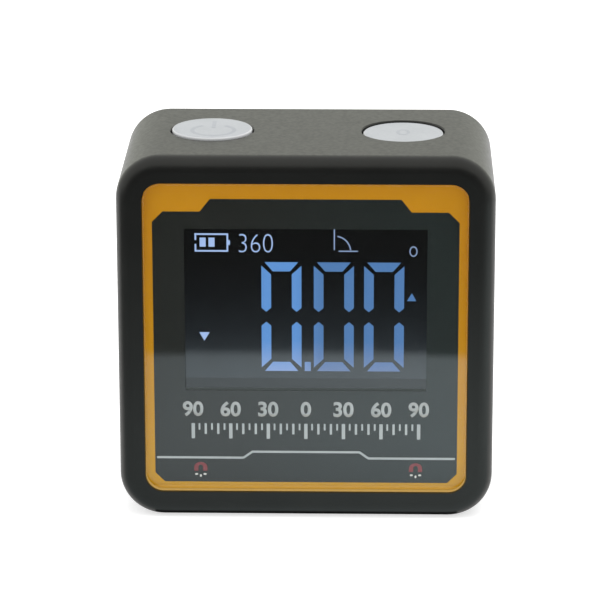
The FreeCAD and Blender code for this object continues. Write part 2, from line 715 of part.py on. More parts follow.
def make_battery_door():
    """The door: a plate with hooks below, a sprung latch above and grip grooves."""
    body = new_body("battery_door")
    high = door_top - door_low
    plate = rounded(face_sketch(body, door_y), ZERO, (door_low + door_top) / 2, door_wide, high, d.door_round)
    pad(body, plate, d.door_thick, "back")
    head = rectangle(face_sketch(body, door_y), ZERO, door_top + d.latch_high / 2 - d.door_round / 2,
                     d.latch_wide, d.latch_high + d.door_round)
    pad(body, head, d.door_thick, "back")
    finger_z = door_top + d.latch_high - d.latch_nib - d.latch_finger / 2
    finger = rectangle(face_sketch(body, door_y), ZERO, finger_z, d.latch_wide, d.latch_finger)
    pad(body, finger, d.latch_deep, "front")
    nib_y = cover_y - d.latch_gap
    nib_high = d.latch_nib + d.latch_finger
    nib_z = door_top + d.latch_high - nib_high / 2
    nib = rectangle(face_sketch(body, nib_y), ZERO, nib_z, d.latch_wide, nib_high)
    pad(body, nib, d.latch_nib, "front")
    hook_back = cover_out_y - d.door_lip - d.hook_gap
    hooks = face_sketch(body, hook_back - d.hook_thick)
    for side in MIRRORED:
        rectangle(hooks, side * d.hook_x, door_low, d.hook_wide, 2 * d.hook_long)
    pad(body, hooks, d.hook_thick, "back")
    grips = face_sketch(body, cover_out_y - d.grip_deep)
    rectangle(grips, ZERO, door_top - d.grip_drop - d.grip_high / 2, d.grip_wide, d.grip_high)
    groove = pocket(body, grips, back_y - cover_out_y + d.grip_deep, "back")
    rows = body.newObject("PartDesign::LinearPattern", "grip_rows")
    rows.Originals = [groove]
    rows.Direction = (grips, ["V_Axis"])
    rows.Reversed = True
    rows.Occurrences = GRIP_GROOVE_COUNT
    bind(rows, "Length", (GRIP_GROOVE_COUNT - 1) * d.grip_step)
    body.Tip = rows
    keep(body, "battery_door")
    keep(block("door_foam", ZERO, door_y - d.pad_thick, d.bay_low + d.pad_end, 2 * (bay_half - d.pad_side),
               d.pad_thick, bay_high - 2 * d.pad_end), "door_foam_pad")


def make_lens():
    body = new_body("front_lens")
    shape = rounded(face_sketch(body, lens_y), ZERO, panel_mid, panel_wide, panel_high, d.panel_round)
    plate = pad(body, shape, d.lens_thick, "back")
    front = number_of(lens_y)
    dress(body, "Chamfer", plate, d.lens_chamfer, lambda p: near(p.y, front))
    keep(body, "front_lens")


def field_outline():
    """The dark field's stepped outline, clockwise from the lower left."""
    low = d.panel_below + d.band_bottom
    panel_top = d.body_height - d.panel_above
    shoulder = panel_top - d.band_shoulder
    middle = panel_top - d.band_top
    side = panel_wide / 2 - d.band_side
    right = [
        (d.shoulder_inner, middle),
        (d.shoulder_inner + d.shoulder_slant, shoulder),
        (side - d.top_cut, shoulder),
        (side, shoulder - d.top_cut),
        (side, low + d.bottom_cut),
        (side - d.bottom_cut, low),
    ]
    left = [(-x, z) for x, z in reversed(right)]
    return left + right


def make_films():
    """Two printed films: the coloured border, and the dark field with its window."""
    border = new_body("border_film")
    outer = rounded(face_sketch(border, film_y), ZERO, panel_mid, panel_wide, panel_high, d.panel_round)
    polygon(outer, field_outline())
    pad(border, outer, d.film_thick, "back")
    keep(border, "border_film")
    mask = new_body("mask_film")
    field = polygon(face_sketch(mask, film_y), field_outline())
    rectangle(field, ZERO, window_mid, window_wide, window_high)
    pad(mask, field, d.film_thick, "back")
    keep(mask, "mask_film")


def make_tape():
    tape = new_body("lens_tape")
    ring = rounded(face_sketch(tape, tape_y), ZERO, panel_mid, panel_wide - 2 * d.tape_setback,
                   panel_high - 2 * d.tape_setback, d.panel_round - d.tape_setback)
    edge = d.glass_gap + d.tape_gap
    rectangle(ring, ZERO, window_mid, glass_wide + 2 * edge, glass_high + 2 * edge)
    pad(tape, ring, d.tape_thick, "back")
    keep(tape, "lens_tape")


def make_display():
    """The display sandwich, front to back."""
    sheet_wide = glass_wide - 2 * d.polariser_margin
    sheet_high = glass_high - 2 * d.polariser_margin
    keep(block("front_sheet", ZERO, display_y, window_mid - sheet_high / 2, sheet_wide, d.polariser_thick,
               sheet_high), "lcd_front_polariser")
    keep(block("front_glass", ZERO, glass_y, glass_low, glass_wide, d.glass_thick, glass_high),
         "lcd_front_glass")
    keep(block("rear_glass", ZERO, rear_glass_y, glass_top - rear_glass_high, glass_wide, d.glass_thick,
               rear_glass_high), "lcd_rear_glass")
    guide_low = guide_mid - guide_high / 2
    keep(block("rear_sheet", ZERO, rear_sheet_y, guide_low, guide_wide, d.polariser_thick, guide_high),
         "lcd_rear_polariser")
    keep(block("guide", ZERO, guide_y, guide_low, guide_wide, d.guide_thick, guide_high), "light_guide")
    keep(block("reflector", ZERO, reflector_y, guide_low, guide_wide, d.reflector_thick, guide_high),
         "backlight_reflector")
    keep(block("strip", ZERO, rear_glass_y, strip_mid - d.strip_height / 2, glass_wide - 2 * d.strip_margin,
               board_y - rear_glass_y, d.strip_height), "lcd_contact_strip")


def led_places():
    """Heights of the two lamps beside the light guide."""
    return [guide_mid + side * (guide_high / 2 - d.led_end) for side in MIRRORED]


def led_x():
    return guide_wide / 2 + d.guide_gap + d.led_wide / 2


def make_leds():
    group("backlight_leds", [
        block("lamp", led_x(), board_y - d.led_deep, z - d.led_tall / 2, d.led_wide, d.led_deep, d.led_tall)
        for z in led_places()])


def make_display_frame():
    """The moulded frame between glass and board, open for the light guide, strip and lamps."""
    body = new_body("lcd_frame")
    outer = rectangle(face_sketch(body, wall_y), ZERO, window_mid, glass_wide + 2 * d.frame_margin,
                      glass_high + 2 * d.frame_margin)
    pad(body, outer, board_y - wall_y, "back")
    seat = rectangle(face_sketch(body, wall_y), ZERO, window_mid, glass_wide + 2 * d.glass_gap,
                     glass_high + 2 * d.glass_gap)
    pocket(body, seat, rear_sheet_y - wall_y, "back")
    openings = face_sketch(body, rear_sheet_y)
    rectangle(openings, ZERO, guide_mid, guide_wide + 2 * d.guide_gap, guide_high + 2 * d.guide_gap)
    rectangle(openings, ZERO, strip_mid, glass_wide - 2 * d.strip_margin + 2 * d.strip_gap,
              d.strip_height + 2 * d.strip_gap)
    pocket(body, openings, board_y - rear_sheet_y, "back")
    lamps = face_sketch(body, board_y)
    for z in led_places():
        rectangle(lamps, led_x() - d.guide_gap / 2, z, d.led_wide + d.guide_gap + 2 * d.led_gap,
                  d.led_tall + 2 * d.led_gap)
    pocket(body, lamps, d.led_deep + d.led_gap, "front")
    keep(body, "lcd_frame")


def make_main_board():
    """The main board: notched round the cover bosses, with a tab up to its top screws."""
    body = new_body("main_board")
    low = d.side_wall + d.board_gap
    shoulder = inner_top - d.board_top_gap
    top = inner_top - d.board_gap
    clear = d.boss_radius + d.boss_gap
    notch_x = boss_x - clear
    notch_z = boss_low_z + clear
    tab = d.post_high_x + d.post_radius + d.board_tab
    right = [
        (tab, top),
        (tab, shoulder),
        (board_side - d.board_cut, shoulder),
        (board_side, shoulder - d.board_cut),
        (board_side, notch_z),
        (notch_x, notch_z),
        (notch_x, low),
    ]
    outline = [(-x, z) for x, z in reversed(right)] + right
    sketch = polygon(face_sketch(body, board_y), outline)
    for x, z in board_screws:
        circle(sketch, x, z, d.screw_shank + d.shank_gap)
    pad(body, sketch, d.board_thick, "back")
    keep(body, "main_board")


def screw(name, head, head_high, shank, grip, x, y, z, turn):
    """A pan-head screw whose head rests at the point given and whose shank leads away from it."""
    profile = [(ZERO, -grip), (shank, -grip), (shank, ZERO), (head, ZERO), (head, head_high / 2),
               (head * HEAD_CROWN_SHARE, head_high), (ZERO, head_high)]
    return move(turned(name, profile), x, y, z, turn)


def make_screws():
    plate_left = d.cover_thick - d.cover_screw_high
    seat_y = cover_out_y - d.cover_screw_high
    group("rear_cover_screws", [
        screw("cover_screw", d.cover_screw_head, d.cover_screw_high, d.cover_screw_shank,
              plate_left + d.cover_screw_grip, x, seat_y, z, TO_BACK) for x, z in cover_screws])
    group("main_board_screws", [
        screw("board_screw", d.screw_head, d.screw_head_high, d.screw_shank, d.board_thick + d.screw_grip,
              x, parts_y, z, TO_BACK) for x, z in board_screws])
    group("button_board_screws", [
        screw("key_screw", d.screw_head, d.screw_head_high, d.screw_shank, d.board_thick + d.screw_grip,
              ZERO, y, key_board_z, TO_DOWN) for y in key_bosses])


def make_button_board():
    body = new_body("button_board")
    wide = 2 * (button_x + d.switch_side / 2 + d.key_edge)
    plan = rectangle(level_sketch(body, key_board_z), ZERO, (key_front_y + key_back_y) / 2, wide,
                     key_back_y - key_front_y)
    for y in key_bosses:
        circle(plan, ZERO, y, d.screw_shank + d.shank_gap)
    for x in header_places():
        rectangle(plan, x, header_y, d.header_pin + 2 * d.tab_gap, d.header_pin + 2 * d.tab_gap)
    pad(body, plan, d.board_thick, "up")
    keep(body, "button_board")


def header_places():
    first = -(HEADER_PINS - 1) / 2
    return [(first + i) * d.header_pitch for i in range(HEADER_PINS)]


def make_header():
    """Bent pins from the main board up through the button board, in one moulded block."""
    pin_z = key_board_z - d.header_block / 2
    holder = block("header_holder", ZERO, parts_y, pin_z - d.header_block / 2, HEADER_PINS * d.header_pitch,
                   d.header_block / 2, d.header_block)
    pins = []
    half = d.header_pin / 2
    for x in header_places():
        flat = block("pin_flat", x, parts_y, pin_z - half, d.header_pin, header_y + half - parts_y,
                     d.header_pin)
        up = block("pin_up", x, header_y - half, pin_z - half, d.header_pin, d.header_pin,
                   key_top_z + d.header_over - pin_z + half)
        pins.append(joined("pin", [flat, up]))
    passages = [block("passage", x, parts_y - d.cut_over, pin_z - half, d.header_pin,
                      d.header_block + 2 * d.cut_over, d.header_pin) for x in header_places()]
    keep(without("header_block", holder, joined("passages", passages)), "header_block")
    group("header_pins", pins)


def make_button(name, x, rise):
    """A cap with a flange under the wall, hollow below round its stem."""
    top = d.body_height + rise
    flange_top = inner_top - d.flange_gap
    flange_low = flange_top - d.flange_thick
    hollow = d.button_radius - d.button_skin
    roof = top - d.button_skin
    stem_low = plunger_top_z + d.plunger_air
    profile = [
        (ZERO, top), (d.button_radius, top), (d.button_radius, flange_top), (button_flange, flange_top),
        (button_flange, flange_low), (hollow, flange_low), (hollow, roof), (d.stem_radius, roof),
        (d.stem_radius, stem_low), (ZERO, stem_low),
    ]
    cap = turned(name, profile)
    dress(cap, "Fillet", cap.Tip, d.button_round, lambda p: near(p.z, top.number))
    keep(move(cap, x, d.button_back), name)


def make_switch(name, x):
    """A square push switch with a round plunger that rides with its button."""
    half = d.switch_side / 2
    y = d.button_back
    case = block(name + "_case", x, y - half, key_top_z, d.switch_side, d.switch_side, d.switch_high)
    well = rod(name + "_well", d.plunger_radius + d.plunger_gap, d.switch_well, x, y,
               switch_top_z - d.switch_well)
    keep(without(name + "_body", case, well), name + "_body")
    foot = switch_top_z - d.switch_well + d.press_travel + d.plunger_gap
    keep(rod(name + "_pin", d.plunger_radius, plunger_top_z - foot, x, y, foot), name + "_plunger")


def make_magnets():
    group("base_magnets", [
        rod("magnet", d.magnet_radius, d.magnet_thick, side * magnet_x, ZERO, d.magnet_inset)
        for side in MIRRORED])


def make_cell(name, z, side):
    """A small cylindrical cell whose nub points left or right."""
    can = cell_long - d.nub_length
    rim = d.cell_radius - d.cell_edge
    profile = [
        (ZERO, ZERO), (rim, ZERO), (d.cell_radius, d.cell_edge), (d.cell_radius, can - d.cell_edge),
        (rim, can), (d.nub_radius, can), (d.nub_radius, cell_long), (ZERO, cell_long),
    ]
    tail = bay_half - d.contact_thick - d.contact_gap - d.spring_length
    turn = TO_RIGHT if side > 0 else TO_LEFT
    keep(move(turned(name, profile), -side * tail + side * d.contact_gap, cell_y, z, turn), name)


def make_contacts():
    """Flat contacts: one links the cells on the left, two stand on the right with solder tabs."""
    plate_y = cell_y - d.contact_size / 2
    x = bay_half - d.contact_thick / 2
    tall = cell_pitch + d.contact_size
    keep(block("link", -x, plate_y, low_cell_z - d.contact_size / 2, d.contact_thick, d.contact_size, tall),
         "link_contact")
    for name, z in (("negative_contact", low_cell_z), ("positive_contact", high_cell_z)):
        plate = block(name + "_plate", x, plate_y, z - d.contact_size / 2, d.contact_thick, d.contact_size,
                      d.contact_size)
        tab_y = bay_front_y - d.tab_reach
        tab = block(name + "_tab", x, tab_y, z - d.tab_wide / 2, d.contact_thick, plate_y - tab_y, d.tab_wide)
        keep(joined(name, [plate, tab]), name)


def make_spring(name, z, side):
    """A cone-shaped spring between a contact plate and the cell's flat end."""
    wire = d.spring_wire.number / 2
    run = d.spring_length.number - 2 * wire
    wide, narrow = d.spring_wide.number, d.spring_narrow.number
    arcs = int(SPRING_TURNS * ARCS_PER_TURN)

    def at(share):
        angle = 2 * math.pi * SPRING_TURNS * share
        radius = wide + (narrow - wide) * share
        return Vector(radius * math.cos(angle), radius * math.sin(angle), wire + run * share)

    edges = [Part.Arc(at(i / arcs), at((i + 0.5) / arcs), at((i + 1) / arcs)).toShape() for i in range(arcs)]
    print("%s: least gap to itself %.2f mm" % (name, self_gap(edges, arcs) - 2 * wire))
    start = edges[0].tangentAt(edges[0].FirstParameter)
    section = Part.Wire([Part.makeCircle(wire, at(0), start)])
    coil = doc.addObject("Part::Feature", name)
    coil.Shape = Part.Wire(edges).makePipeShell([section], True, False)
    foot = bay_half - d.contact_thick - d.contact_gap / 2
    turn = TO_RIGHT if side < 0 else TO_LEFT
    coil.Placement = FreeCAD.Placement(Vector(side * foot.number, cell_y.number, z.number),
                                       FreeCAD.Rotation(Vector(*turn[0]), turn[1]))
    keep(coil, name)


def self_gap(edges, arcs):
    """Least distance between the centre lines of neighbouring turns, measured on points."""
    points = [edge.valueAt(edge.FirstParameter + share * (edge.LastParameter - edge.FirstParameter))
              for edge in edges for share in GAP_SHARES]
    turn = len(points) * ARCS_PER_TURN // arcs
    half = turn // 2
    count = len(points)
    return min((points[j] - points[i]).Length for i in range(count) for j in range(i + half, count))


def make_chips():
    """The parts soldered to the back of the main board."""
    half = d.chip_side / 2
    case = block("chip_case", d.chip_x, parts_y + d.pin_thick, d.chip_z - half, d.chip_side, d.chip_high,
                 d.chip_side)
    pins = []
    reach = d.chip_side + 2 * d.pin_long
    for i in range(CHIP_PINS):
        shift = (i - (CHIP_PINS - 1) / 2) * d.pin_step
        level = d.chip_z + shift - d.pin_wide / 2
        pins.append(block("chip_pin", d.chip_x, parts_y, level, reach, d.pin_thick, d.pin_wide))
        across = d.chip_x + shift
        pins.append(block("chip_pin", across, parts_y, d.chip_z - reach / 2, d.pin_wide, d.pin_thick, reach))
    keep(joined("microcontroller", [case] + pins), "microcontroller")
    keep(block("tilt", d.sensor_x, parts_y, d.chip_z - d.sensor_side / 2, d.sensor_side, d.sensor_high,
               d.sensor_side), "tilt_sensor")
    crystal_x = d.crystal_side - board_side
    crystal_z = key_board_z - d.crystal_drop - d.crystal_long
    keep(rod("crystal", d.crystal_radius, d.crystal_long, crystal_x, parts_y + d.crystal_radius, crystal_z),
         "timing_crystal")
    rim = d.can_radius - d.can_edge
    profile = [(ZERO, ZERO), (d.can_radius, ZERO), (d.can_radius, d.can_high - d.can_edge), (rim, d.can_high),
               (ZERO, d.can_high)]
    can_z = key_board_z - d.can_drop - d.can_radius
    keep(move(turned("can", profile), d.can_x, parts_y, can_z, TO_BACK), "supply_capacitor")
    row = [block("small_chip", (i - (CHIP_PARTS - 1) / 2) * d.chip_part_step, parts_y, d.chip_part_z,
                 d.chip_part_wide, d.chip_part_high, d.chip_part_long) for i in range(CHIP_PARTS)]
    group("small_chip_parts", row)


def make_wire(name, z):
    """An insulated lead from a solder tab to the main board, in a lazy S."""
    radius = d.wire_radius.number
    x_tab = (bay_half - d.contact_thick - d.wire_radius).number
    x_board = x_tab - d.wire_shift.number
    y_tab = bay_front_y.number - d.tab_gap.number
    y_board = parts_y.number
    third = (y_tab - y_board) / 3
    level = z.number
    route = [Vector(x_tab, y_tab, level), Vector(x_tab, y_tab - third, level),
             Vector(x_board, y_board + third, level), Vector(x_board, y_board, level)]
    path = bent_path(route)
    section = Part.Wire([Part.makeCircle(radius, route[0], route[1] - route[0])])
    lead = doc.addObject("Part::Feature", name)
    lead.Shape = path.makePipeShell([section], True, False)
    keep(lead, name)


def bent_path(route):
    """Straight runs joined by arcs as large as the runs allow."""
    edges = []
    here = route[0]
    for before, corner, after in zip(route, route[1:], route[2:]):
        into = (corner - before).normalize()
        out = (after - corner).normalize()
        turn = into.getAngle(out)
        reach = BEND_SHARE * min((corner - before).Length, (after - corner).Length)
        first = corner - into * reach
        last = corner + out * reach
        radius = reach / math.tan(turn / 2)
        print("lead bend of %.0f degrees, radius %.2f mm" % (math.degrees(turn), radius))
        inward = (out - into).normalize()
        middle = corner + inward * (math.hypot(radius, reach) - radius)
        edges.append(Part.LineSegment(here, first).toShape())
        edges.append(Part.Arc(first, middle, last).toShape())
        here = last
    edges.append(Part.LineSegment(here, route[-1]).toShape())
    return Part.Wire(edges)


def check_document():
    """Stops if any object failed, any cut removed nothing or any sub-part is unsound."""
    doc.recompute()
    for thing in doc.Objects:
        if "Invalid" in thing.State or "Error" in thing.State:
            raise SystemExit("%s: %s" % (thing.Label, thing.State))
        if thing.TypeId == "PartDesign::Pocket" and thing.BaseFeature is not None:
            if thing.Shape.Volume >= thing.BaseFeature.Shape.Volume - 1e-6:
                raise SystemExit("%s cuts nothing" % thing.Name)
    for thing in nodes:
        if thing.Shape.isNull() or not thing.Shape.isValid() or not thing.Shape.Solids:
            raise SystemExit("%s is unsound" % thing.Label)


def write_nodes():
    os.makedirs("parts", exist_ok=True)
    for thing in nodes:
        thing.Shape.exportStep("parts/%s.step" % thing.Label)
        print("%-24s %d solid(s) %10.2f mm3" % (thing.Label, len(thing.Shape.Solids), thing.Shape.Volume))


make_front_housing()
make_rear_cover()
make_battery_door()
make_lens()
make_films()
make_tape()
make_display()
make_leds()
make_display_frame()
make_main_board()
make_button_board()
make_header()
make_screws()
make_button("power_button", -button_x, d.power_rise)
make_button("zero_button", button_x, d.zero_rise)
make_switch("power_switch", -button_x)
make_switch("zero_switch", button_x)
make_magnets()
make_cell("lower_cell", low_cell_z, -1)
make_cell("upper_cell", high_cell_z, 1)
make_contacts()
make_spring("link_spring", high_cell_z, -1)
make_spring("negative_spring", low_cell_z, 1)
make_chips()
make_wire("red_lead", high_cell_z)
make_wire("black_lead", low_cell_z)
check_document()
write_nodes()
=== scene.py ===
"""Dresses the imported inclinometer: finishes, lit display, printed marks, screws and a small studio.

Everything is in metres in the part's own frame: X to the viewer's right, Y to the back, Z up.
Named sizes are in millimetres and turned into metres by MM, where nothing else is said.
"""
import json
import math

import bmesh
import bpy
from mathutils import Matrix, Vector


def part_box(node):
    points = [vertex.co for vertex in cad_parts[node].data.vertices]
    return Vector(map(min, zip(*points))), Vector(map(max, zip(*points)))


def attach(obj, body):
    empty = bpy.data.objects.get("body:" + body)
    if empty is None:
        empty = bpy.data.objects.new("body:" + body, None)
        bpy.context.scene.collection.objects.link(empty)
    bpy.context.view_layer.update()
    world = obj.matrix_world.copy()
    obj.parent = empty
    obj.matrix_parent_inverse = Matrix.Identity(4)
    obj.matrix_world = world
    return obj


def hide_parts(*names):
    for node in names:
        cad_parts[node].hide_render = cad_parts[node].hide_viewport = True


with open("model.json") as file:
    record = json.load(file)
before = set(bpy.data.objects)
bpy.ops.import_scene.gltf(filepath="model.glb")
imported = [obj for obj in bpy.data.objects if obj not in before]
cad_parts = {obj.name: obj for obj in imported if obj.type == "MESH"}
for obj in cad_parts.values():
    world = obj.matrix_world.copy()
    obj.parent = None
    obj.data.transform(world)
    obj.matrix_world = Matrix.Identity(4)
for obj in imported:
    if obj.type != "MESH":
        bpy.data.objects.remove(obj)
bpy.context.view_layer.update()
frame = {"nodes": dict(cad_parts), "record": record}
MM = 0.001

# The photograph's view: a long lens, a little above the object and a little to its right
LENS = 209.98
SENSOR = 36.0
CAMERA_AT = (10.85 * MM, -500.244 * MM, 184.627 * MM)
PITCH, YAW, ROLL = 0.3013, 0.024, 0.0018


# Studio

WORLD_GLOW, TABLE_GLOW = 1.0, 0.62

# The floor, the overhead light and the cards, in metres
FLOOR_REACH, FLOOR_DROP = 3.0, 0.02 * MM
OVERHEAD_AT, OVERHEAD_AIM = (0.10, 0.05, 0.75), (0.0, 0.0, 0.03)
OVERHEAD_SIZE, OVERHEAD_POWER = 0.7, 3.5
CARD_LIFT = 0.05 * MM
FAR_SIDE, FAR_FRONT, FRONT_HIGH = 1.5, -1.2, 0.9
LEFT_END, NEAR_LEFT, NEAR_RIGHT, RIGHT_END = -0.5, -0.10, 0.17, 0.6
# A black strip at the part's foot, a painted contact shadow seen in reflections: its half width and its
# near and far edges
CONTACT_SHADOW_HALF, CONTACT_SHADOW_NEAR, CONTACT_SHADOW_FAR = 0.0225, -0.0146, -0.0136
BACK_HALF, BACK_AT, BACK_HIGH = 1.0, 0.6, 0.5

# The lit cards' colours and, in millimetres, where the near card's light changes
BACK_GLOW = (1.10, 1.12, 1.01)
NEAR_GLOW = (0.85, 0.98, 1.03)
NEAR_SPAN, NEAR_REACH = (0.40, 1.60), 100.0
NEAR_EDGE, NEAR_FADE = -91.7, 4.6
# The near card's painted shade of the floor by the part: the share of light left, and where it starts and
# is full
NEAR_SHADE_SHARE, NEAR_SHADE_FROM, NEAR_SHADE_FULL = 0.74, -45.0, -17.0


def add_camera():
    """A camera fitted to the photograph's view."""
    data = bpy.data.cameras.new("camera")
    data.lens = LENS
    data.sensor_width = SENSOR
    camera = bpy.data.objects.new("camera", data)
    bpy.context.scene.collection.objects.link(camera)
    turn = (Matrix.Rotation(YAW, 4, "Z") @ Matrix.Rotation(math.pi / 2 - PITCH, 4, "X")
            @ Matrix.Rotation(-ROLL, 4, "Z"))
    camera.matrix_world = Matrix.Translation(CAMERA_AT) @ turn
    bpy.context.scene.camera = camera


def add_world(strength):
    """An even white surround."""
    world = bpy.data.worlds.new("studio")
    world.use_nodes = True
    world.node_tree.nodes["Background"].inputs["Color"].default_value = (1.0, 1.0, 1.0, 1.0)
    world.node_tree.nodes["Background"].inputs["Strength"].default_value = strength
    bpy.context.scene.world = world


def add_softbox(name, place, target, size, power):
    """A square area light at place, turned to the target."""
    data = bpy.data.lights.new(name, "AREA")
    data.size = size
    data.energy = power
    light = bpy.data.objects.new(name, data)
    bpy.context.scene.collection.objects.link(light)
    light.location = place
    light.rotation_euler = (Vector(target) - Vector(place)).to_track_quat("-Z", "Y").to_euler()
    return light


def stage_plane(name, low, high):
    """A flat rectangle of the studio between two corners, level or standing across the view."""
    mesh = bpy.data.meshes.new(name)
    corners = [low, (high[0], low[1], low[2]), high, (low[0], high[1], high[2])]
    mesh.from_pydata(corners, [], [(0, 1, 2, 3)])
    plane = bpy.data.objects.new(name, mesh)
    bpy.context.scene.collection.objects.link(plane)
    return plane


def show_to_gloss_only(thing):
    """A card that only reflections see, as a photographer's flag out of the picture."""
    thing.visible_camera = False
    thing.visible_diffuse = False
    thing.visible_transmission = False
    thing.visible_shadow = False


# Materials

EVEN, BRUSHED = (1.0, 1.0, 1.0), (12.0, 1.0, 1.0)
COAT_ROUGHNESS, COAT_INDEX = 0.03, 1.71

# How far up a button's rim faces where its painted highlight is palest and where the top begins
RIM_HIGHLIGHT_FACING = (0.75, 0.97)

# Heights at which the panel's looks change, and where they turn from left to right
LIT_FOOT, LIT_BLUR = 21.1, 0.15
# The sill's height and blur, and the strength of the painted reflection that glows below it
SILL, SILL_BLUR, SILL_REFLECTION_GLOW = 19.62, 0.08, 0.078
LEAK_HEIGHTS = (21.0, 42.0)
# Where the border's painted floor light fades out going up, and where its foot's painted light fades out
BORDER_FLOOR_LIGHT_HEIGHTS, BORDER_FOOT_LIGHT = (6.0, 40.0), (4.45, 4.70)
# The side heights are where the lens's painted reflection of the border changes colour
SIDE_REFLECTION_HEIGHTS, DIGIT_HEIGHTS, SIGN_HEIGHTS = (5.0, 30.0), (21.0, 27.0), (39.0, 45.0)
MASK_TURN = (-10.0, 22.0)
LIGHT_FALL, DIGIT_RIGHT_SHARE, SIGN_RIGHT_SHARE = (-1.5, 2.0), 0.66, 0.72

# The cells: where the bare caps and the copper band start along X, and the height between the two
CELL_CAP, CELL_BAND, CELLS_APART = (20.6, 20.7), (9.0, 9.05), (21.1, 21.3)

# The copper runs' pitch, and their line as a share of it
RUN_PITCH, RUN_LINE_SHARE = 6.0, 0.04


class Finish:
    """A node material whose detail is laid out in the object's own space."""

    def __init__(self, name):
        self.material = bpy.data.materials.new(name)
        self.material.use_nodes = True
        self.nodes = self.material.node_tree.nodes
        self.links = self.material.node_tree.links
        self.shader = self.nodes["Principled BSDF"]
        coordinates = self.nodes.new("ShaderNodeTexCoord")
        self.place = coordinates.outputs["Object"]
        self.facing = coordinates.outputs["Normal"]

    def put(self, socket, value):
        """Sets a shader socket to a constant, or links it to what varies."""
        if isinstance(value, bpy.types.NodeSocket):
            self.links.new(value, self.shader.inputs[socket])
        else:
            self.shader.inputs[socket].default_value = value

    def base_colour(self):
        """What the base colour is linked to so far."""
        return self.shader.inputs["Base Color"].links[0].from_socket

    def noise(self, size, detail=2.0, stretch=EVEN):
        """Noise with features about this many millimetres across, longer along a stretched axis."""
        mapping = self.nodes.new("ShaderNodeMapping")
        mapping.inputs["Scale"].default_value = [1.0 / part for part in stretch]
        self.links.new(self.place, mapping.inputs["Vector"])
        texture = self.nodes.new("ShaderNodeTexNoise")
        texture.inputs["Scale"].default_value = 1.0 / (size * MM)
        texture.inputs["Detail"].default_value = detail
        self.links.new(mapping.outputs["Vector"], texture.inputs["Vector"])
        return texture.outputs["Fac"]

    def along(self, axis, source=None):
        """The object's own X, Y or Z in metres, or that part of another vector."""
        split = self.nodes.new("ShaderNodeSeparateXYZ")
        self.links.new(source or self.place, split.inputs["Vector"])
        return split.outputs[axis]

    def spread(self, source, low, high, first=0.25, last=0.75):
        """Maps a value between first and last onto low to high."""
        node = self.nodes.new("ShaderNodeMapRange")
        for name, value in (("From Min", first), ("From Max", last), ("To Min", low), ("To Max", high)):
            node.inputs[name].default_value = value
        self.links.new(source, node.inputs["Value"])
        return node.outputs["Result"]

    def ramp(self, source, first, last, low=0.0, high=1.0):
        """Maps a length between two places in millimetres onto low to high."""
        return self.spread(source, low, high, first * MM, last * MM)

    def maths(self, operation, *values):
        """A sum, product or the like of sockets and constants."""
        node = self.nodes.new("ShaderNodeMath")
        node.operation = operation
        for socket, value in zip(node.inputs, values):
            if isinstance(value, bpy.types.NodeSocket):
                self.links.new(value, socket)
            else:
                socket.default_value = value
        return node.outputs["Value"]

    def mix(self, source, first, second):
        """A colour between two others, where each may be a constant or a socket."""
        node = self.nodes.new("ShaderNodeMix")
        node.data_type = "RGBA"
        self.links.new(source, node.inputs["Factor"])
        for name, value in (("A", first), ("B", second)):
            socket = next(s for s in node.inputs if s.name == name and s.type == "RGBA")
            if isinstance(value, bpy.types.NodeSocket):
                self.links.new(value, socket)
            else:
                socket.default_value = (*value, 1.0)
        return next(s for s in node.outputs if s.type == "RGBA")

    def bump(self, *layers):
        """Stacks height maps, each with its depth in micrometres."""
        normal = None
        for height, depth in layers:
            node = self.nodes.new("ShaderNodeBump")
            node.inputs["Distance"].default_value = depth * MM * MM
            self.links.new(height, node.inputs["Height"])
            if normal is not None:
                self.links.new(normal, node.inputs["Normal"])
            normal = node.outputs["Normal"]
        self.put("Normal", normal)


def plain(name, dark, light, rough, grain, depth, metal=0.0, stretch=EVEN, blotch=3.0, shine=0.5,
          behind_lens=False):
    """The common build of a finish: two close colours in soft blotches, fine grain and varied gloss."""
    finish = Finish(name)
    finish.put("Base Color", finish.mix(finish.spread(finish.noise(blotch), 0.0, 1.0), dark, light))
    finish.put("Roughness", finish.spread(finish.noise(grain * 4, 3.0, stretch), *rough))
    finish.put("Metallic", metal)
    finish.put("Specular IOR Level", shine)
    if behind_lens:
        finish.put("Coat Weight", 1.0)
        finish.put("Coat Roughness", COAT_ROUGHNESS)
        finish.put("Coat IOR", COAT_INDEX)
    finish.bump((finish.noise(grain, 3.0, stretch), depth))
    return finish


def case_finish():
    """Satin black moulding: an even spark-eroded grain over slow waves of the wall."""
    finish = Finish("case_black")
    patches = finish.spread(finish.noise(9.0), 0.0, 1.0)
    finish.put("Base Color", finish.mix(patches, (0.0050, 0.0052, 0.0050), (0.0072, 0.0074, 0.0070)))
    finish.put("Roughness", finish.spread(finish.noise(0.6, 3.0), 0.34, 0.44))
    finish.put("Specular IOR Level", 0.44)
    finish.put("Specular Tint", (1.0, 1.0, 0.93, 1.0))
    finish.bump((finish.noise(7.0), 9.0), (finish.noise(0.11, 3.0), 2.2))
    return finish


def button_finish():
    """Light grey moulding with a fine grain, paler where its rim rounds over: a painted highlight of light
    catching the rounded edge.
    """
    finish = plain("button_grey", (0.335, 0.350, 0.370), (0.365, 0.380, 0.400), (0.40, 0.50), 0.12, 2.0)
    top = finish.base_colour()
    # The rim is painted paler as a highlight where its rounded edge catches the light
    rim_highlight = finish.spread(finish.along("Z", finish.facing), 1.0, 0.0, *RIM_HIGHLIGHT_FACING)
    finish.put("Base Color", finish.mix(rim_highlight, top, (0.600, 0.610, 0.615)))
    return finish


def lens_finish(name, tone, cover):
    """Clear plastic that lets nearly everything through; its outer gloss lies on the films behind it."""
    paler = tone * 1.1
    finish = plain(name, (tone, tone, tone), (paler, paler, paler), (0.03, 0.06), 0.5, 0.02)
    finish.put("Alpha", cover)
    return finish


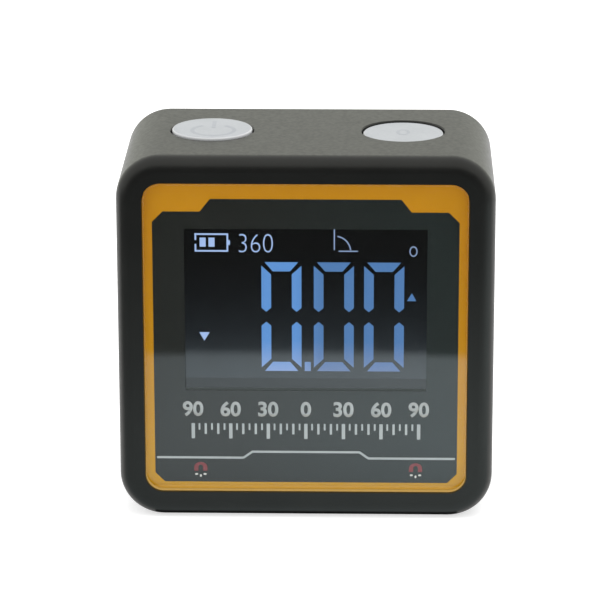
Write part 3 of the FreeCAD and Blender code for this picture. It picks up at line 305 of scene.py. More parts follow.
def light_finish(name, low_colour, high_colour, heights, right=1.0):
    """A lit mark, whose colour runs between two heights and whose light may fall off to the right. The
    lens's sides use it for a glowing painted reflection.
    """
    finish = Finish(name)
    height = finish.ramp(finish.along("Z"), *heights)
    cells = finish.spread(finish.noise(0.35), -0.06, 0.06)
    colour = finish.mix(finish.maths("ADD", height, cells), low_colour, high_colour)
    finish.put("Base Color", (0.01, 0.01, 0.012, 1.0))
    finish.put("Emission Color", colour)
    finish.put("Emission Strength", finish.ramp(finish.along("X"), *LIGHT_FALL, 1.0, right))
    finish.put("Roughness", finish.spread(finish.noise(0.2), 0.35, 0.5))
    return finish


def print_finish(name, dark, light):
    """Flat ink on the panel's films."""
    return plain(name, dark, light, (0.35, 0.45), 0.4, 0.1, behind_lens=True)


def polariser_finish():
    """Near black sheet. A little backlight leaks through low on the lit area, and below the sill a painted
    reflection glows evenly.
    """
    finish = plain("polariser", (0.0016, 0.0020, 0.0020), (0.0026, 0.0031, 0.0032), (0.09, 0.14), 0.4, 0.03,
                   behind_lens=True)
    height = finish.along("Z")
    rise = finish.maths("POWER", finish.ramp(height, *LEAK_HEIGHTS, 1.0, 0.0), 2.0)
    leak = finish.maths("MULTIPLY", rise, finish.spread(finish.noise(4.0), 0.032, 0.042))
    lit = finish.maths("MULTIPLY", leak, finish.ramp(height, LIT_FOOT, LIT_FOOT + LIT_BLUR, 0.15, 1.0))
    # Below the sill the sheet glows with a painted reflection, in place of the mirrored floor that the
    # mask's edge blocks
    sill_reflection = finish.ramp(height, SILL, SILL + SILL_BLUR, 1.0, 0.0)
    finish.put("Emission Color", finish.mix(sill_reflection, (0.62, 0.82, 1.0), (0.86, 1.0, 0.98)))
    finish.put("Emission Strength", finish.maths("ADD", lit, finish.maths("MULTIPLY", sill_reflection, SILL_REFLECTION_GLOW)))
    return finish


def mask_finish():
    """The dark print round the display, a little greener to the right."""
    finish = plain("mask_dark", (0.0128, 0.0150, 0.0124), (0.0146, 0.0168, 0.0142), (0.29, 0.36), 0.4, 0.05,
                   shine=0.2, behind_lens=True)
    left = finish.base_colour()
    across = finish.ramp(finish.along("X"), *MASK_TURN)
    finish.put("Base Color", finish.mix(across, left, (0.0134, 0.0208, 0.0194)))
    return finish


def border_finish():
    """The printed border, amber at its head, yellower lower down with painted light from the floor, and
    pale at its foot with painted light thrown back by the lens's side.
    """
    finish = plain("border_orange", (0.500, 0.222, 0.003), (0.530, 0.240, 0.005), (0.30, 0.38), 0.4, 0.05,
                   shine=0.1, behind_lens=True)
    head = finish.base_colour()
    # Lower down the border is painted yellower, as light from the floor
    floor_lit_lower = finish.mix(finish.ramp(finish.along("Z"), *BORDER_FLOOR_LIGHT_HEIGHTS), (0.560, 0.300, 0.002), head)
    # The pale foot is painted light thrown back by the lens's side
    foot_light = finish.ramp(finish.along("Z"), *BORDER_FOOT_LIGHT)
    finish.put("Base Color", finish.mix(foot_light, (0.680, 0.390, 0.060), floor_lit_lower))
    return finish


def cell_finish():
    """A wrapped cell: dark jacket, a copper band at its nub and bare caps. The two lie opposite ways."""
    finish = Finish("cell_jacket")
    along = finish.along("X")
    bare = finish.ramp(finish.maths("ABSOLUTE", along), *CELL_CAP)
    flip = finish.ramp(finish.along("Z"), *CELLS_APART, 1.0, -1.0)
    band = finish.ramp(finish.maths("MULTIPLY", along, flip), *CELL_BAND)
    jacket = finish.mix(band, (0.02, 0.022, 0.026), (0.50, 0.20, 0.07))
    finish.put("Base Color", finish.mix(bare, jacket, (0.62, 0.61, 0.58)))
    finish.put("Metallic", bare)
    finish.put("Roughness", finish.spread(finish.noise(1.5, 3.0), 0.2, 0.34))
    finish.bump((finish.noise(2.0), 6.0))
    return finish


def board_finish():
    """Green solder mask over faint copper runs."""
    finish = Finish("board_green")
    runs = finish.nodes.new("ShaderNodeTexBrick")
    runs.inputs["Scale"].default_value = 1.0 / (RUN_PITCH * MM)
    runs.inputs["Mortar Size"].default_value = RUN_LINE_SHARE
    finish.links.new(finish.place, runs.inputs["Vector"])
    copper = finish.spread(runs.outputs["Fac"], 0.0, 1.0, 0.3, 0.7)
    finish.put("Base Color", finish.mix(copper, (0.008, 0.060, 0.022), (0.020, 0.110, 0.035)))
    finish.put("Roughness", finish.spread(finish.noise(1.0), 0.22, 0.36))
    finish.bump((copper, 15.0))
    return finish


def card_finish(name, glow):
    """Matt black board, or a softly lit one."""
    finish = plain(name, (0.004, 0.004, 0.004), (0.006, 0.006, 0.006), (0.80, 0.90), 1.0, 4.0)
    finish.put("Emission Color", (*glow, 1.0))
    finish.put("Emission Strength", 1.0)
    return finish


def near_card_finish():
    """The lit card before the part: brighter to the right, dimmer at the part as a painted shade of the
    floor there, and gone at its far edge.
    """
    finish = card_finish("card_near", NEAR_GLOW)
    across = finish.ramp(finish.along("X"), -NEAR_REACH, NEAR_REACH, *NEAR_SPAN)
    # Painted shade: the card dims towards the part, as the floor there lies in its shade
    painted_shade = finish.ramp(finish.along("Y"), NEAR_SHADE_FROM, NEAR_SHADE_FULL, 1.0, NEAR_SHADE_SHARE)
    fade = finish.ramp(finish.along("Y"), NEAR_EDGE, NEAR_EDGE + NEAR_FADE)
    finish.put("Emission Strength", finish.maths("MULTIPLY", finish.maths("MULTIPLY", across, painted_shade), fade))
    return finish


WHITE = ((0.74, 0.74, 0.72), (0.82, 0.82, 0.80))
NICKEL = ((0.60, 0.58, 0.54), (0.70, 0.68, 0.64))

# For each plain slot: darker and lighter colour, roughness, grain size, grain depth in micrometres,
# and for a metal how metallic it is and how its grain is stretched
PLAIN_FINISHES = {
    "tape_black": ((0.010, 0.010, 0.010), (0.016, 0.016, 0.016), (0.60, 0.75), 0.20, 4.0),
    "display_glass": ((0.030, 0.034, 0.036), (0.040, 0.044, 0.046), (0.05, 0.10), 0.5, 0.3),
    "guide_clear": ((0.70, 0.74, 0.78), (0.78, 0.81, 0.84), (0.10, 0.20), 0.4, 2.0),
    "sheet_white": (*WHITE, (0.40, 0.50), 0.3, 1.0),
    "frame_white": (*WHITE, (0.38, 0.48), 0.15, 3.0),
    "strip_rubber": ((0.30, 0.16, 0.14), (0.36, 0.20, 0.18), (0.55, 0.70), 0.2, 5.0),
    "lamp_white": ((0.75, 0.76, 0.70), (0.84, 0.84, 0.78), (0.25, 0.35), 0.2, 2.0),
    "chip_black": ((0.012, 0.012, 0.013), (0.020, 0.020, 0.021), (0.45, 0.60), 0.12, 4.0),
    "pin_gold": ((0.72, 0.50, 0.18), (0.80, 0.58, 0.24), (0.22, 0.34), 0.2, 1.0, 1.0),
    "screw_steel": ((0.42, 0.42, 0.43), (0.52, 0.52, 0.52), (0.24, 0.38), 0.12, 1.5, 1.0),
    "contact_nickel": (*NICKEL, (0.22, 0.36), 0.1, 1.2, 1.0, BRUSHED),
    "magnet_nickel": (*NICKEL, (0.16, 0.28), 0.2, 1.0, 1.0),
    "can_metal": ((0.62, 0.62, 0.62), (0.70, 0.70, 0.70), (0.22, 0.34), 0.15, 1.0, 1.0),
    "foam_grey": ((0.035, 0.036, 0.038), (0.060, 0.061, 0.064), (0.85, 0.95), 0.35, 60.0),
    "wire_red": ((0.42, 0.012, 0.010), (0.50, 0.020, 0.016), (0.35, 0.48), 0.3, 2.0),
    "wire_black": ((0.010, 0.010, 0.011), (0.018, 0.018, 0.019), (0.35, 0.48), 0.3, 2.0),
}


def make_finishes():
    """One material for each of the record's slots."""
    made = {slot: plain(slot, *values) for slot, values in PLAIN_FINISHES.items()}
    made["case_black"] = case_finish()
    made["button_grey"] = button_finish()
    made["lens_clear"] = lens_finish("lens_clear", 0.02, 0.03)
    made["border_orange"] = border_finish()
    made["mask_dark"] = mask_finish()
    made["polariser"] = polariser_finish()
    made["board_green"] = board_finish()
    made["cell_jacket"] = cell_finish()
    return {slot: finish.material for slot, finish in made.items()}


def paint_nodes(materials):
    """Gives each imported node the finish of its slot."""
    for row in frame["record"]["subparts"]:
        node = frame["nodes"][row["node"]]
        node.data.materials.clear()
        node.data.materials.append(materials[row["material_slot"]])


# Mesh helpers

MITRE_LIMIT = 0.3
CURVE_STEPS = 7
WELD = 1e-5


def new_piece(name, mesh, material, body, crisp=None):
    """A finished bmesh as a piece that rides on a body, smooth up to the crisp angle if one is given."""
    bmesh.ops.recalc_face_normals(mesh, faces=mesh.faces)
    if crisp is not None:
        soften(mesh, crisp)
    data = bpy.data.meshes.new(name)
    mesh.to_mesh(data)
    mesh.free()
    piece = bpy.data.objects.new(name, data)
    bpy.context.scene.collection.objects.link(piece)
    piece.data.materials.append(material)
    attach(piece, body)
    return piece


def soften(mesh, limit):
    """Smooth shading, with edges sharper than the limit in degrees left crisp."""
    for face in mesh.faces:
        face.smooth = True
    for edge in mesh.edges:
        edge.smooth = len(edge.link_faces) == 2 and edge.calc_face_angle(0.0) < math.radians(limit)


def bridge(mesh, first, second):
    """A closed band of faces between two loops of as many points."""
    count = len(first)
    for i in range(count):
        mesh.faces.new((first[i], first[(i + 1) % count], second[(i + 1) % count], second[i]))


def loop_at(mesh, outline, y):
    return [mesh.verts.new((x, y, z)) for x, z in outline]


def plate(mesh, outline, near, deep):
    """A flat plate whose outline holds (x, z) points, from y near to near + deep."""
    front, back = loop_at(mesh, outline, near), loop_at(mesh, outline, near + deep)
    mesh.faces.new(front)
    mesh.faces.new(back)
    bridge(mesh, front, back)


def ring_plate(mesh, outer, inner, near, deep):
    """A flat ring between two outlines of as many points."""
    loops = [loop_at(mesh, outline, y) for outline, y in
             ((outer, near), (inner, near), (inner, near + deep), (outer, near + deep))]
    for i in range(4):
        bridge(mesh, loops[i], loops[(i + 1) % 4])


def sides_of(path, width, closed):
    """The two edges of a line of this width along (x, z) points, mitred at its corners."""
    points = [Vector(point) for point in path]
    count = len(points)
    left, right = [], []
    for i, here in enumerate(points):
        before = here - points[i - 1] if closed or i else points[1] - here
        after = points[(i + 1) % count] - here if closed or i < count - 1 else before
        across_one = Vector((-before.y, before.x)).normalized()
        across_two = Vector((-after.y, after.x)).normalized()
        across = (across_one + across_two).normalized()
        reach = width / 2 / max(across.dot(across_one), MITRE_LIMIT)
        left.append(tuple(here + across * reach))
        right.append(tuple(here - across * reach))
    return left, right


def stroke(mesh, path, width, near, deep, closed=False):
    """A flat drawn line."""
    left, right = sides_of(path, width, closed)
    if closed:
        ring_plate(mesh, left, right, near, deep)
    else:
        plate(mesh, left + right[::-1], near, deep)


def arc(centre, radii, start, end, steps):
    """Points (x, z) of an ellipse's arc between two angles in degrees."""
    turns = [math.radians(start + (end - start) * i / steps) for i in range(steps + 1)]
    return [(centre[0] + radii[0] * math.cos(t), centre[1] + radii[1] * math.sin(t)) for t in turns]


def ellipse(centre, radii, steps):
    return arc(centre, radii, 0.0, 360.0, steps)[:-1]


def rectangle(left, right, low, high):
    return [(left, low), (right, low), (right, high), (left, high)]


def scaled(points):
    return [(x * MM, z * MM) for x, z in points]


def add_number(mesh, text, centre, high, near, deep, bold=0.0, narrow=1.0):
    """A plain number of this height about (x, z), facing the front."""
    curve = bpy.data.curves.new("number_" + text, "FONT")
    curve.body = text
    curve.offset = bold
    curve.resolution_u = CURVE_STEPS
    holder = bpy.data.objects.new(curve.name, curve)
    flat = bpy.data.meshes.new_from_object(holder)
    bpy.data.objects.remove(holder)
    shape = bmesh.new()
    shape.from_mesh(flat)
    bmesh.ops.remove_doubles(shape, verts=shape.verts, dist=WELD)
    xs, ys = [v.co.x for v in shape.verts], [v.co.y for v in shape.verts]
    scale = high / (max(ys) - min(ys))
    middle = Vector(((max(xs) + min(xs)) / 2, (max(ys) + min(ys)) / 2, 0.0))
    for vertex in shape.verts:
        offset = (vertex.co - middle) * scale
        vertex.co = Vector((centre[0] + offset.x * narrow, near, centre[1] + offset.y))
    grown = bmesh.ops.extrude_face_region(shape, geom=shape.faces[:] + shape.edges[:] + shape.verts[:])
    moved = [item for item in grown["geom"] if isinstance(item, bmesh.types.BMVert)]
    bmesh.ops.translate(shape, verts=moved, vec=(0.0, deep, 0.0))
    bmesh.ops.recalc_face_normals(shape, faces=shape.faces)
    shape.to_mesh(flat)
    shape.free()
    mesh.from_mesh(flat)
    bpy.data.meshes.remove(flat)


def lathe(mesh, profile, steps):
    """A turned shape about Z from (radius, height) points, closed at both ends on the axis."""
    rings = []
    for radius, height in profile:
        if radius == 0.0:
            rings.append([mesh.verts.new((0.0, 0.0, height))])
        else:
            rings.append([mesh.verts.new((radius * math.cos(2 * math.pi * i / steps),
                                          radius * math.sin(2 * math.pi * i / steps), height))
                          for i in range(steps)])
    for low, high in zip(rings, rings[1:]):
        for i in range(steps):
            j = (i + 1) % steps
            corners = [low[i % len(low)], low[j % len(low)], high[j % len(high)], high[i % len(high)]]
            mesh.faces.new(list(dict.fromkeys(corners)))


# The clear panel

PANEL_ROUND, CORNER_STEPS = 2.6, 14
LENS_AIR, LENS_BEVEL, LENS_CRISP = 0.03, 0.2, 30.0

# The polished edge from the lens's side to its face: inset and depth below the face, in bevels
BEVEL_SHARES = ((0.0, 1.0), (0.12, 0.62), (0.38, 0.29), (0.70, 0.08), (1.0, 0.0))
FACE_INSET_SHARE = 2.0

# The lens's materials by number, after the face's own: the edge's painted highlight and the sides' painted
# reflection of the border
EDGE_HIGHLIGHT_LOOK, SIDE_REFLECTION_LOOK = 1, 2


def rounded_outline(low, high, radius):
    """A rectangle with round corners, as (x, z) points."""
    corners = ((high[0] - radius, high[1] - radius, 0.0), (low[0] + radius, high[1] - radius, 90.0),
               (low[0] + radius, low[1] + radius, 180.0), (high[0] - radius, low[1] + radius, 270.0))
    return [point for x, z, start in corners
            for point in arc((x, z), (radius, radius), start, start + 90.0, CORNER_STEPS)]


def add_lens(material, edge_highlight_material, side_reflection_material):
    """The lens with its polished front edge, paler as a painted highlight, and sides that glow with a
    painted reflection of the border behind them.
    """
    low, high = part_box("front_lens")
    bevel = LENS_BEVEL * MM
    steps = [(0.0, high.y - LENS_AIR * MM)]
    steps += [(bevel * inset, low.y + bevel * depth) for inset, depth in BEVEL_SHARES]
    steps.append((bevel * FACE_INSET_SHARE, low.y))
    mesh = bmesh.new()
    loops = []
    for inset, y in steps:
        outline = rounded_outline((low.x + inset, low.z + inset), (high.x - inset, high.z - inset),
                                  PANEL_ROUND * MM - inset)
        loops.append(loop_at(mesh, outline, y))
    for first, second in zip(loops, loops[1:]):
        bridge(mesh, first, second)
    around = len(loops[0])
    for number, face in enumerate(mesh.faces[:around * (len(loops) - 2)]):
        face.material_index = SIDE_REFLECTION_LOOK if number < around else EDGE_HIGHLIGHT_LOOK
    mesh.faces.new(loops[0])
    mesh.faces.new(loops[-1])
    lens = new_piece("lens_panel", mesh, material, "body", LENS_CRISP)
    lens.data.materials.append(edge_highlight_material)
    lens.data.materials.append(side_reflection_material)
    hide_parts("front_lens")


# The lit display, on the display's face

MARK_DEEP, MARK_SHARE = 0.02, 0.9
DIGIT_LEFTS = (-6.47, 1.17, 8.49)
DIGIT_LOW, DIGIT_HIGH, DIGIT_WIDE = 22.28, 38.93, 5.84
BAR_WIDE, BAR_HIGH = 1.41, 1.40
END_INSET, END_SLANT, END_TRIM = 0.48, 1.18, 0.1
BAR_DROP, TIP_LONG, TIP_GAP = 0.55, 0.60, 0.77
POINT_LEFT, POINT_WIDE = -0.17, 0.90

# The signs round the reading: two triangles, a battery, an angle, a degree ring and a number
RIGHT_TRIANGLE = ((14.74, 33.10), (16.10, 33.10), (15.46, 34.30))
LEFT_TRIANGLE = ((-15.59, 28.19), (-14.86, 26.86), (-14.07, 28.19))
BATTERY_LEFT, BATTERY_RIGHT, BATTERY_LOW, BATTERY_HIGH = -16.02, -11.38, 40.59, 43.12
BATTERY_SPLIT, BATTERY_LINE = (41.62, 42.23), 0.25
BATTERY_TIP = (-11.26, -11.00, 41.50, 42.22)
BATTERY_BARS = ((-15.41, -14.53, 41.22, 42.59), (-14.12, -13.24, 41.22, 42.59))
ANGLE_ARMS = (((4.15, 40.80), (4.15, 43.93)), ((4.78, 40.63), (7.58, 40.63)))
ANGLE_MID, ANGLE_RADII, ANGLE_SPAN = (4.30, 40.55), (2.22, 2.33), (82.0, 6.0)
ANGLE_LINE, ANGLE_STEPS = 0.17, 14
DEGREE_MID, DEGREE_RADII, DEGREE_LINE, DEGREE_STEPS = (15.64, 40.64), (0.51, 0.71), 0.16, 24
RANGE_NUMBER, RANGE_X, RANGE_Z = "360", -7.26, 41.78
RANGE_HIGH, RANGE_BOLD, RANGE_NARROW = 2.77, -0.022, 0.86


def mark_depths(node):
    """Where flat marks on the front of a node start, and how deep they go, just short of its face."""
    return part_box(node)[0].y - MARK_DEEP * MM, MARK_DEEP * MM * MARK_SHARE


def mirror_z(points, middle):
    return [(x, 2 * middle - z) for x, z in points]


def mirror_x(points, middle):
    return [(2 * middle - x, z) for x, z in points]


def digit_bars(left):
    """The six lit bars of a nought."""
    mid_x, mid_z = left + DIGIT_WIDE / 2, (DIGIT_LOW + DIGIT_HIGH) / 2
    top = [(left + END_INSET, DIGIT_HIGH), (left + END_INSET + END_SLANT, DIGIT_HIGH - BAR_HIGH),
           (left + DIGIT_WIDE - END_INSET - END_SLANT, DIGIT_HIGH - BAR_HIGH),
           (left + DIGIT_WIDE - END_INSET, DIGIT_HIGH)]
    shoulder = mid_z + TIP_GAP + TIP_LONG
    upright = [(left, DIGIT_HIGH - BAR_DROP), (left, shoulder), (left + BAR_WIDE / 2, mid_z + TIP_GAP),
               (left + BAR_WIDE, shoulder), (left + BAR_WIDE, DIGIT_HIGH - BAR_DROP - BAR_WIDE + END_TRIM)]
    bars = [top, upright, mirror_x(upright, mid_x)]
    return bars + [mirror_z(bar, mid_z) for bar in bars]


def add_display_marks(digit_material, sign_material):
    """The lit reading, and the small signs round it."""
    near, deep = mark_depths("lcd_front_polariser")
    digits, signs = bmesh.new(), bmesh.new()
    for left in DIGIT_LEFTS:
        for bar in digit_bars(left):
            plate(digits, scaled(bar), near, deep)
    point = rectangle(POINT_LEFT, POINT_LEFT + POINT_WIDE, DIGIT_LOW, DIGIT_LOW + BAR_HIGH)
    plate(digits, scaled(point), near, deep)
    plate(digits, scaled(RIGHT_TRIANGLE), near, deep)
    plate(signs, scaled(LEFT_TRIANGLE), near, deep)
    new_piece("display_reading", digits, digit_material, "body")
    battery_sign(signs, near, deep)
    angle_sign(signs, near, deep)
    ring = ellipse(DEGREE_MID, DEGREE_RADII, DEGREE_STEPS)
    stroke(signs, scaled(ring), DEGREE_LINE * MM, near, deep, closed=True)
    add_number(signs, RANGE_NUMBER, (RANGE_X * MM, RANGE_Z * MM), RANGE_HIGH * MM, near, deep, RANGE_BOLD,
               RANGE_NARROW)
    new_piece("display_signs", signs, sign_material, "body")


def battery_sign(mesh, near, deep):
    """A battery outline with a split left side, a tip and two bars."""
    split_low, split_high = BATTERY_SPLIT
    path = [(BATTERY_LEFT, split_high), (BATTERY_LEFT, BATTERY_HIGH), (BATTERY_RIGHT, BATTERY_HIGH),
            (BATTERY_RIGHT, BATTERY_LOW), (BATTERY_LEFT, BATTERY_LOW), (BATTERY_LEFT, split_low)]
    stroke(mesh, scaled(path), BATTERY_LINE * MM, near, deep)
    for sides in (BATTERY_TIP, *BATTERY_BARS):
        plate(mesh, scaled(rectangle(*sides)), near, deep)


def angle_sign(mesh, near, deep):
    """Two arms of a right angle and the arc between them."""
    for path in (*ANGLE_ARMS, arc(ANGLE_MID, ANGLE_RADII, *ANGLE_SPAN, ANGLE_STEPS)):
        stroke(mesh, scaled(path), ANGLE_LINE * MM, near, deep)


# Prints on the panel, on the film's face

SCALE_HALF, TICKS_APART = 16.6, 6
SCALE_NUMBERS = ("90", "60", "30", "0", "30", "60", "90")
NUMBER_HIGH, NUMBER_MID, NUMBER_BOLD = 2.35, 16.55, 0.03
TICK_TOP = 14.30
LONG_TICK, MIDDLE_TICK, SHORT_TICK = (2.35, 0.5), (1.65, 0.34), (1.0, 0.26)
LINE_PATH = ((-21.99, 8.95), (-9.22, 8.95), (-7.90, 9.90), (7.90, 9.90), (9.22, 8.95), (21.99, 8.95))
LINE_WIDE = 0.33

# The magnet signs: a horseshoe's legs and bow, and sparks given by shift, height and two radii
SHOE_XS, SHOE_FOOT, SHOE_MID = (-15.55, 16.20), 6.87, 7.43
SHOE_OUTER, OUTER_STEPS, SHOE_INNER, INNER_STEPS = (0.97, 0.80), 18, (0.35, 0.40), 12
SPARKS, SPARK_STEPS = ((-0.62, 6.35, 0.24, 0.15), (0.0, 6.11, 0.15, 0.22), (0.62, 6.35, 0.24, 0.15)), 14


def scale_x(step, steps):
    """Where a step of the scale lies, from its left end to its right end."""
    return SCALE_HALF * (2 * step / steps - 1)


def tick_size(step):
    """A tick's length and width: long under a number, middling at 10 degrees and short at 5."""
    if step % TICKS_APART == 0:
        return LONG_TICK
    return MIDDLE_TICK if step % 2 == 0 else SHORT_TICK


def add_panel_scale(material):
    """A plain angle scale: numbers over ticks at every 5 degrees."""
    near, deep = mark_depths("mask_film")
    mesh = bmesh.new()
    spans = len(SCALE_NUMBERS) - 1
    for i, number in enumerate(SCALE_NUMBERS):
        centre = (scale_x(i, spans) * MM, NUMBER_MID * MM)
        add_number(mesh, number, centre, NUMBER_HIGH * MM, near, deep, NUMBER_BOLD)
    for i in range(TICKS_APART * spans + 1):
        x = scale_x(i, TICKS_APART * spans)
        long, wide = tick_size(i)
        plate(mesh, scaled(rectangle(x - wide / 2, x + wide / 2, TICK_TOP - long, TICK_TOP)), near, deep)
    stroke(mesh, scaled(LINE_PATH), LINE_WIDE * MM, near, deep)
    new_piece("panel_scale", mesh, material, "body")


def shoe_side(x, radii, start, end, steps):
    """One edge of a horseshoe: a foot, the bow and the other foot."""
    bow = arc((x, SHOE_MID), radii, start, end, steps)
    return [(bow[0][0], SHOE_FOOT)] + bow + [(bow[-1][0], SHOE_FOOT)]


def add_magnet_signs(red, white):
    """A small horseshoe and three sparks over each base magnet."""
    near, deep = mark_depths("mask_film")
    shoes, sparks = bmesh.new(), bmesh.new()
    for x in SHOE_XS:
        outer = shoe_side(x, SHOE_OUTER, 180.0, 0.0, OUTER_STEPS)
        inner = shoe_side(x, SHOE_INNER, 0.0, 180.0, INNER_STEPS)
        plate(shoes, scaled(outer + inner), near, deep)
        for shift, z, wide, high in SPARKS:
            plate(sparks, scaled(ellipse((x + shift, z), (wide, high), SPARK_STEPS)), near, deep)
    new_piece("magnet_signs", shoes, red, "body")
    new_piece("magnet_sparks", sparks, white, "body")


# Marks on the buttons, drawn about the middle of their tops

MARK_RISE = 0.012
POWER_MID, POWER_RADIUS, POWER_SPAN, POWER_STEPS = (0.2, -1.4), 3.1, (122.0, 418.0), 40
POWER_BAR, POWER_LINE = ((0.2, 0.0), (0.2, 3.9)), 0.6
ZERO_HIGH = 3.2


def lay_on_top(mesh, node):
    """Turns marks drawn about (0, 0) to face up, on the top of a button."""
    low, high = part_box(node)
    middle = (low + high) / 2
    turn = Matrix.Translation((middle.x, middle.y, high.z)) @ Matrix.Rotation(-math.pi / 2, 4, "X")
    bmesh.ops.transform(mesh, matrix=turn, verts=mesh.verts)


def add_button_marks(material):
    """A power sign on the left button and a nought on the right one."""
    near, deep = -MARK_RISE * MM, MARK_DEEP * MM
    power = bmesh.new()
    for path in (arc(POWER_MID, (POWER_RADIUS, POWER_RADIUS), *POWER_SPAN, POWER_STEPS), POWER_BAR):
        stroke(power, scaled(path), POWER_LINE * MM, near, deep)
    lay_on_top(power, "power_button")
    new_piece("power_mark", power, material, "power_button")
    zero = bmesh.new()
    add_number(zero, "0", (0.0, 0.0), ZERO_HIGH * MM, near, deep)
    lay_on_top(zero, "zero_button")
    new_piece("zero_mark", zero, material, "zero_button")


# Screws in the rear cover

SCREW_HEAD, SCREW_CROWN, SCREW_SHANK = 1.9, 1.0, 0.9
SCREW_STEPS, CROWN_STEPS, SCREW_CRISP = 40, 10, 28.0
THREAD_TURNS, THREAD_TIP, THREAD_SHORT = 6, 0.5, 0.8
SPIN_FIRST, SPIN_STEP = 17.0, 31.0

# Radii as shares of the shank or head, and heights as shares of a turn or of the crown
ROOT_SHARE, TIP_SHARE, NECK_SHARE, UNDER_HEAD_SHARE = 0.78, 0.45, 0.8, 0.97
CREST_SHARE, TURN_SHARE, WALL_SHARE = 0.45, 0.9, 0.35

CROSS_WIDE, CROSS_LONG, CROSS_DEEP = 0.62, 2.3, 0.75
CROSS_FOOT_SHARE = 0.55


def screw_profile(long):
    """Half outline of a pan head with a threaded shank, from tip to crown, in millimetres."""
    root, turn = SCREW_SHANK * ROOT_SHARE, (long - THREAD_SHORT) / THREAD_TURNS
    thread = []
    for i in range(THREAD_TURNS):
        base = -long + THREAD_TIP + i * turn
        thread += [(root, base), (SCREW_SHANK, base + turn * CREST_SHARE), (root, base + turn * TURN_SHARE)]
    angles = [math.radians(90.0 * i / CROWN_STEPS) for i in range(CROWN_STEPS)]
    crown = [(SCREW_HEAD * math.cos(a), SCREW_CROWN * (WALL_SHARE + (1.0 - WALL_SHARE) * math.sin(a)))
             for a in angles]
    tip = [(0.0, -long), (SCREW_SHANK * TIP_SHARE, -long)]
    neck = [(SCREW_SHANK * NECK_SHARE, 0.0), (SCREW_HEAD * UNDER_HEAD_SHARE, 0.0)]
    return tip + thread + neck + crown + [(0.0, SCREW_CROWN)]


def cross_outline(share):
    """A plus sign whose arms are this share of the recess's size."""
    thin, far = CROSS_WIDE / 2 * share, CROSS_LONG / 2 * share
    arm = [(far, -thin), (far, thin), (thin, thin)]
    quarters = ((1, 0), (0, 1), (-1, 0), (0, -1))
    return [(x * c - y * s, x * s + y * c) for c, s in quarters for x, y in arm]


def cross_cutter():
    """The tapered cross that is cut from a screw head, narrow end down."""
    cutter = bmesh.new()
    levels = ((CROSS_FOOT_SHARE, SCREW_CROWN - CROSS_DEEP), (1.0, SCREW_CROWN), (1.0, 2 * SCREW_CROWN))
    loops = [[cutter.verts.new((x * MM, y * MM, z * MM)) for x, y in cross_outline(share)]
             for share, z in levels]
    cutter.faces.new(loops[0])
    cutter.faces.new(loops[-1])
    for first, second in zip(loops, loops[1:]):
        bridge(cutter, first, second)
    bmesh.ops.recalc_face_normals(cutter, faces=cutter.faces)
    return cutter


def add_cover_screws(material):
    """Pan-head screws with a cross recess, in the cover's counterbores."""
    low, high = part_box("rear_cover_screws")
    head, crown = SCREW_HEAD * MM, SCREW_CROWN * MM
    long = (high.y - low.y) / MM - SCREW_CROWN
    places = [(x, z) for x in (low.x + head, high.x - head) for z in (low.z + head, high.z - head)]
    tool = mesh_object("cross_tool", cross_cutter())
    screws = bmesh.new()
    for index, (x, z) in enumerate(places):
        blank = bmesh.new()
        lathe(blank, scaled(screw_profile(long)), SCREW_STEPS)
        bmesh.ops.recalc_face_normals(blank, faces=blank.faces)
        cut = cut_by(mesh_object("screw_blank", blank), tool)
        spin = Matrix.Rotation(math.radians(SPIN_FIRST + SPIN_STEP * index), 4, "Z")
        stand = Matrix.Translation((x, high.y - crown, z)) @ Matrix.Rotation(-math.pi / 2, 4, "X")
        cut.transform(stand @ spin)
        screws.from_mesh(cut)
        bpy.data.meshes.remove(cut)
    bpy.data.objects.remove(tool)
    piece = new_piece("cover_screws", screws, material, "body", SCREW_CRISP)
    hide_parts("rear_cover_screws")


def mesh_object(name, mesh):
    """A bare helper object that is removed again."""
    data = bpy.data.meshes.new(name)
    mesh.to_mesh(data)
    mesh.free()
    thing = bpy.data.objects.new(name, data)
    bpy.context.scene.collection.objects.link(thing)
    return thing


def cut_by(blank, tool):
    """The blank's mesh with the tool's volume taken away; the blank object is removed."""
    cut = blank.modifiers.new("cut", "BOOLEAN")
    cut.operation = "DIFFERENCE"
    cut.solver = "EXACT"
    cut.object = tool
    depsgraph = bpy.context.evaluated_depsgraph_get()
    data = bpy.data.meshes.new_from_object(blank.evaluated_get(depsgraph))
    bpy.data.objects.remove(blank)
    return data


# Putting it together

def add_floor():
    """A pale table that glows a little, so that it stays near white."""
    floor = stage_plane("floor", (-FLOOR_REACH, -FLOOR_REACH, -FLOOR_DROP),
                        (FLOOR_REACH, FLOOR_REACH, -FLOOR_DROP))
    white = plain("floor_white", (0.61, 0.61, 0.61), (0.63, 0.63, 0.63), (0.75, 0.85), 1.5, 4.0,
                  blotch=60.0)
    white.put("Emission Color", (1.0, 1.0, 1.0, 1.0))
    white.put("Emission Strength", TABLE_GLOW)
    floor.data.materials.append(white.material)


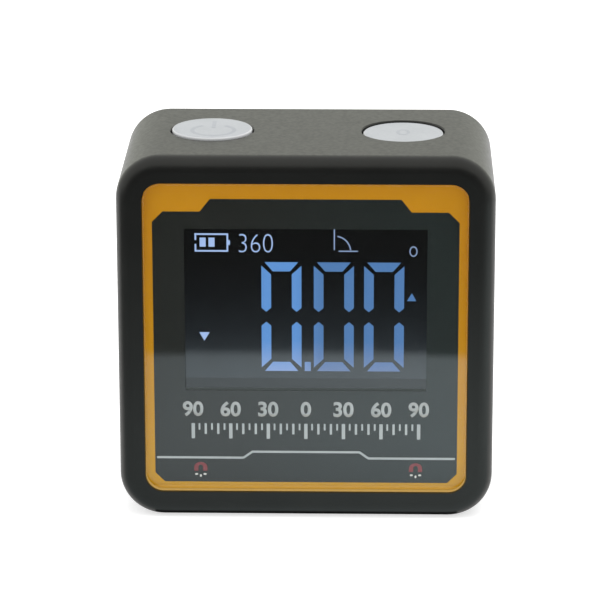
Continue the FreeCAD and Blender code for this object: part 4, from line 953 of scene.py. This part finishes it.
def add_cards():
    """What the glossy faces mirror: black cards, a lit one before the part and one behind it. The black
    strip at the part's foot is a painted contact shadow.
    """
    black = card_finish("card_black", (0.0, 0.0, 0.0))
    near = near_card_finish()
    back = card_finish("card_back", BACK_GLOW)
    edge, lift = NEAR_EDGE * MM, CARD_LIFT
    for name, low, high, look in (
            ("floor_card", (-FAR_SIDE, FAR_FRONT, lift), (FAR_SIDE, edge, lift), black),
            ("front_card", (-FAR_SIDE, FAR_FRONT, 0.0), (FAR_SIDE, FAR_FRONT, FRONT_HIGH), black),
            ("left_card", (LEFT_END, edge, lift), (NEAR_LEFT, 0.0, lift), black),
            ("right_card", (NEAR_RIGHT, edge, lift), (RIGHT_END, 0.0, lift), black),
            ("near_card", (NEAR_LEFT, edge, lift), (NEAR_RIGHT, CONTACT_SHADOW_NEAR, lift), near),
            ("contact_shadow_card", (-CONTACT_SHADOW_HALF, CONTACT_SHADOW_NEAR, lift), (CONTACT_SHADOW_HALF, CONTACT_SHADOW_FAR, lift), black),
            ("back_card", (-BACK_HALF, BACK_AT, 0.0), (BACK_HALF, BACK_AT, BACK_HIGH), back)):
        card = stage_plane(name, low, high)
        card.data.materials.append(look.material)
        show_to_gloss_only(card)


def build_studio():
    """Everything but the part: camera, lights, floor and cards."""
    add_camera()
    add_world(WORLD_GLOW)
    bpy.context.scene.view_settings.view_transform = "Standard"
    add_floor()
    add_cards()
    overhead = add_softbox("overhead", OVERHEAD_AT, OVERHEAD_AIM, OVERHEAD_SIZE, OVERHEAD_POWER)
    overhead.visible_glossy = False


def build_object():
    """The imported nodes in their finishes, and the pieces that are modelled here."""
    materials = make_finishes()
    paint_nodes(materials)
    # The lens's sides glow as a painted reflection of the orange border behind them
    side_reflection = light_finish("lens_side_reflection", (0.47, 0.29, 0.070), (0.35, 0.16, 0.008), SIDE_REFLECTION_HEIGHTS)
    # The lens's bevel is paler than its face: a painted highlight along the polished edge
    edge = lens_finish("lens_edge_highlight", 0.3, 0.09)
    digits = light_finish("lit_blue", (0.32, 0.44, 0.72), (0.100, 0.285, 0.655), DIGIT_HEIGHTS,
                          DIGIT_RIGHT_SHARE)
    signs = light_finish("lit_pale", (0.36, 0.51, 0.83), (0.38, 0.53, 0.86), SIGN_HEIGHTS, SIGN_RIGHT_SHARE)
    print_white = print_finish("print_white", (0.35, 0.385, 0.385), (0.41, 0.445, 0.445))
    print_red = print_finish("print_red", (0.18, 0.010, 0.014), (0.22, 0.015, 0.020))
    spark_white = print_finish("spark_white", (0.56, 0.56, 0.52), (0.62, 0.62, 0.58))
    mark_grey = plain("mark_grey", (0.30, 0.315, 0.34), (0.33, 0.345, 0.37), (0.45, 0.55), 0.1, 0.8)
    add_lens(materials["lens_clear"], edge.material, side_reflection.material)
    add_display_marks(digits.material, signs.material)
    add_panel_scale(print_white.material)
    add_magnet_signs(print_red.material, spark_white.material)
    add_button_marks(mark_grey.material)
    add_cover_screws(materials["screw_steel"])


build_studio()
build_object()
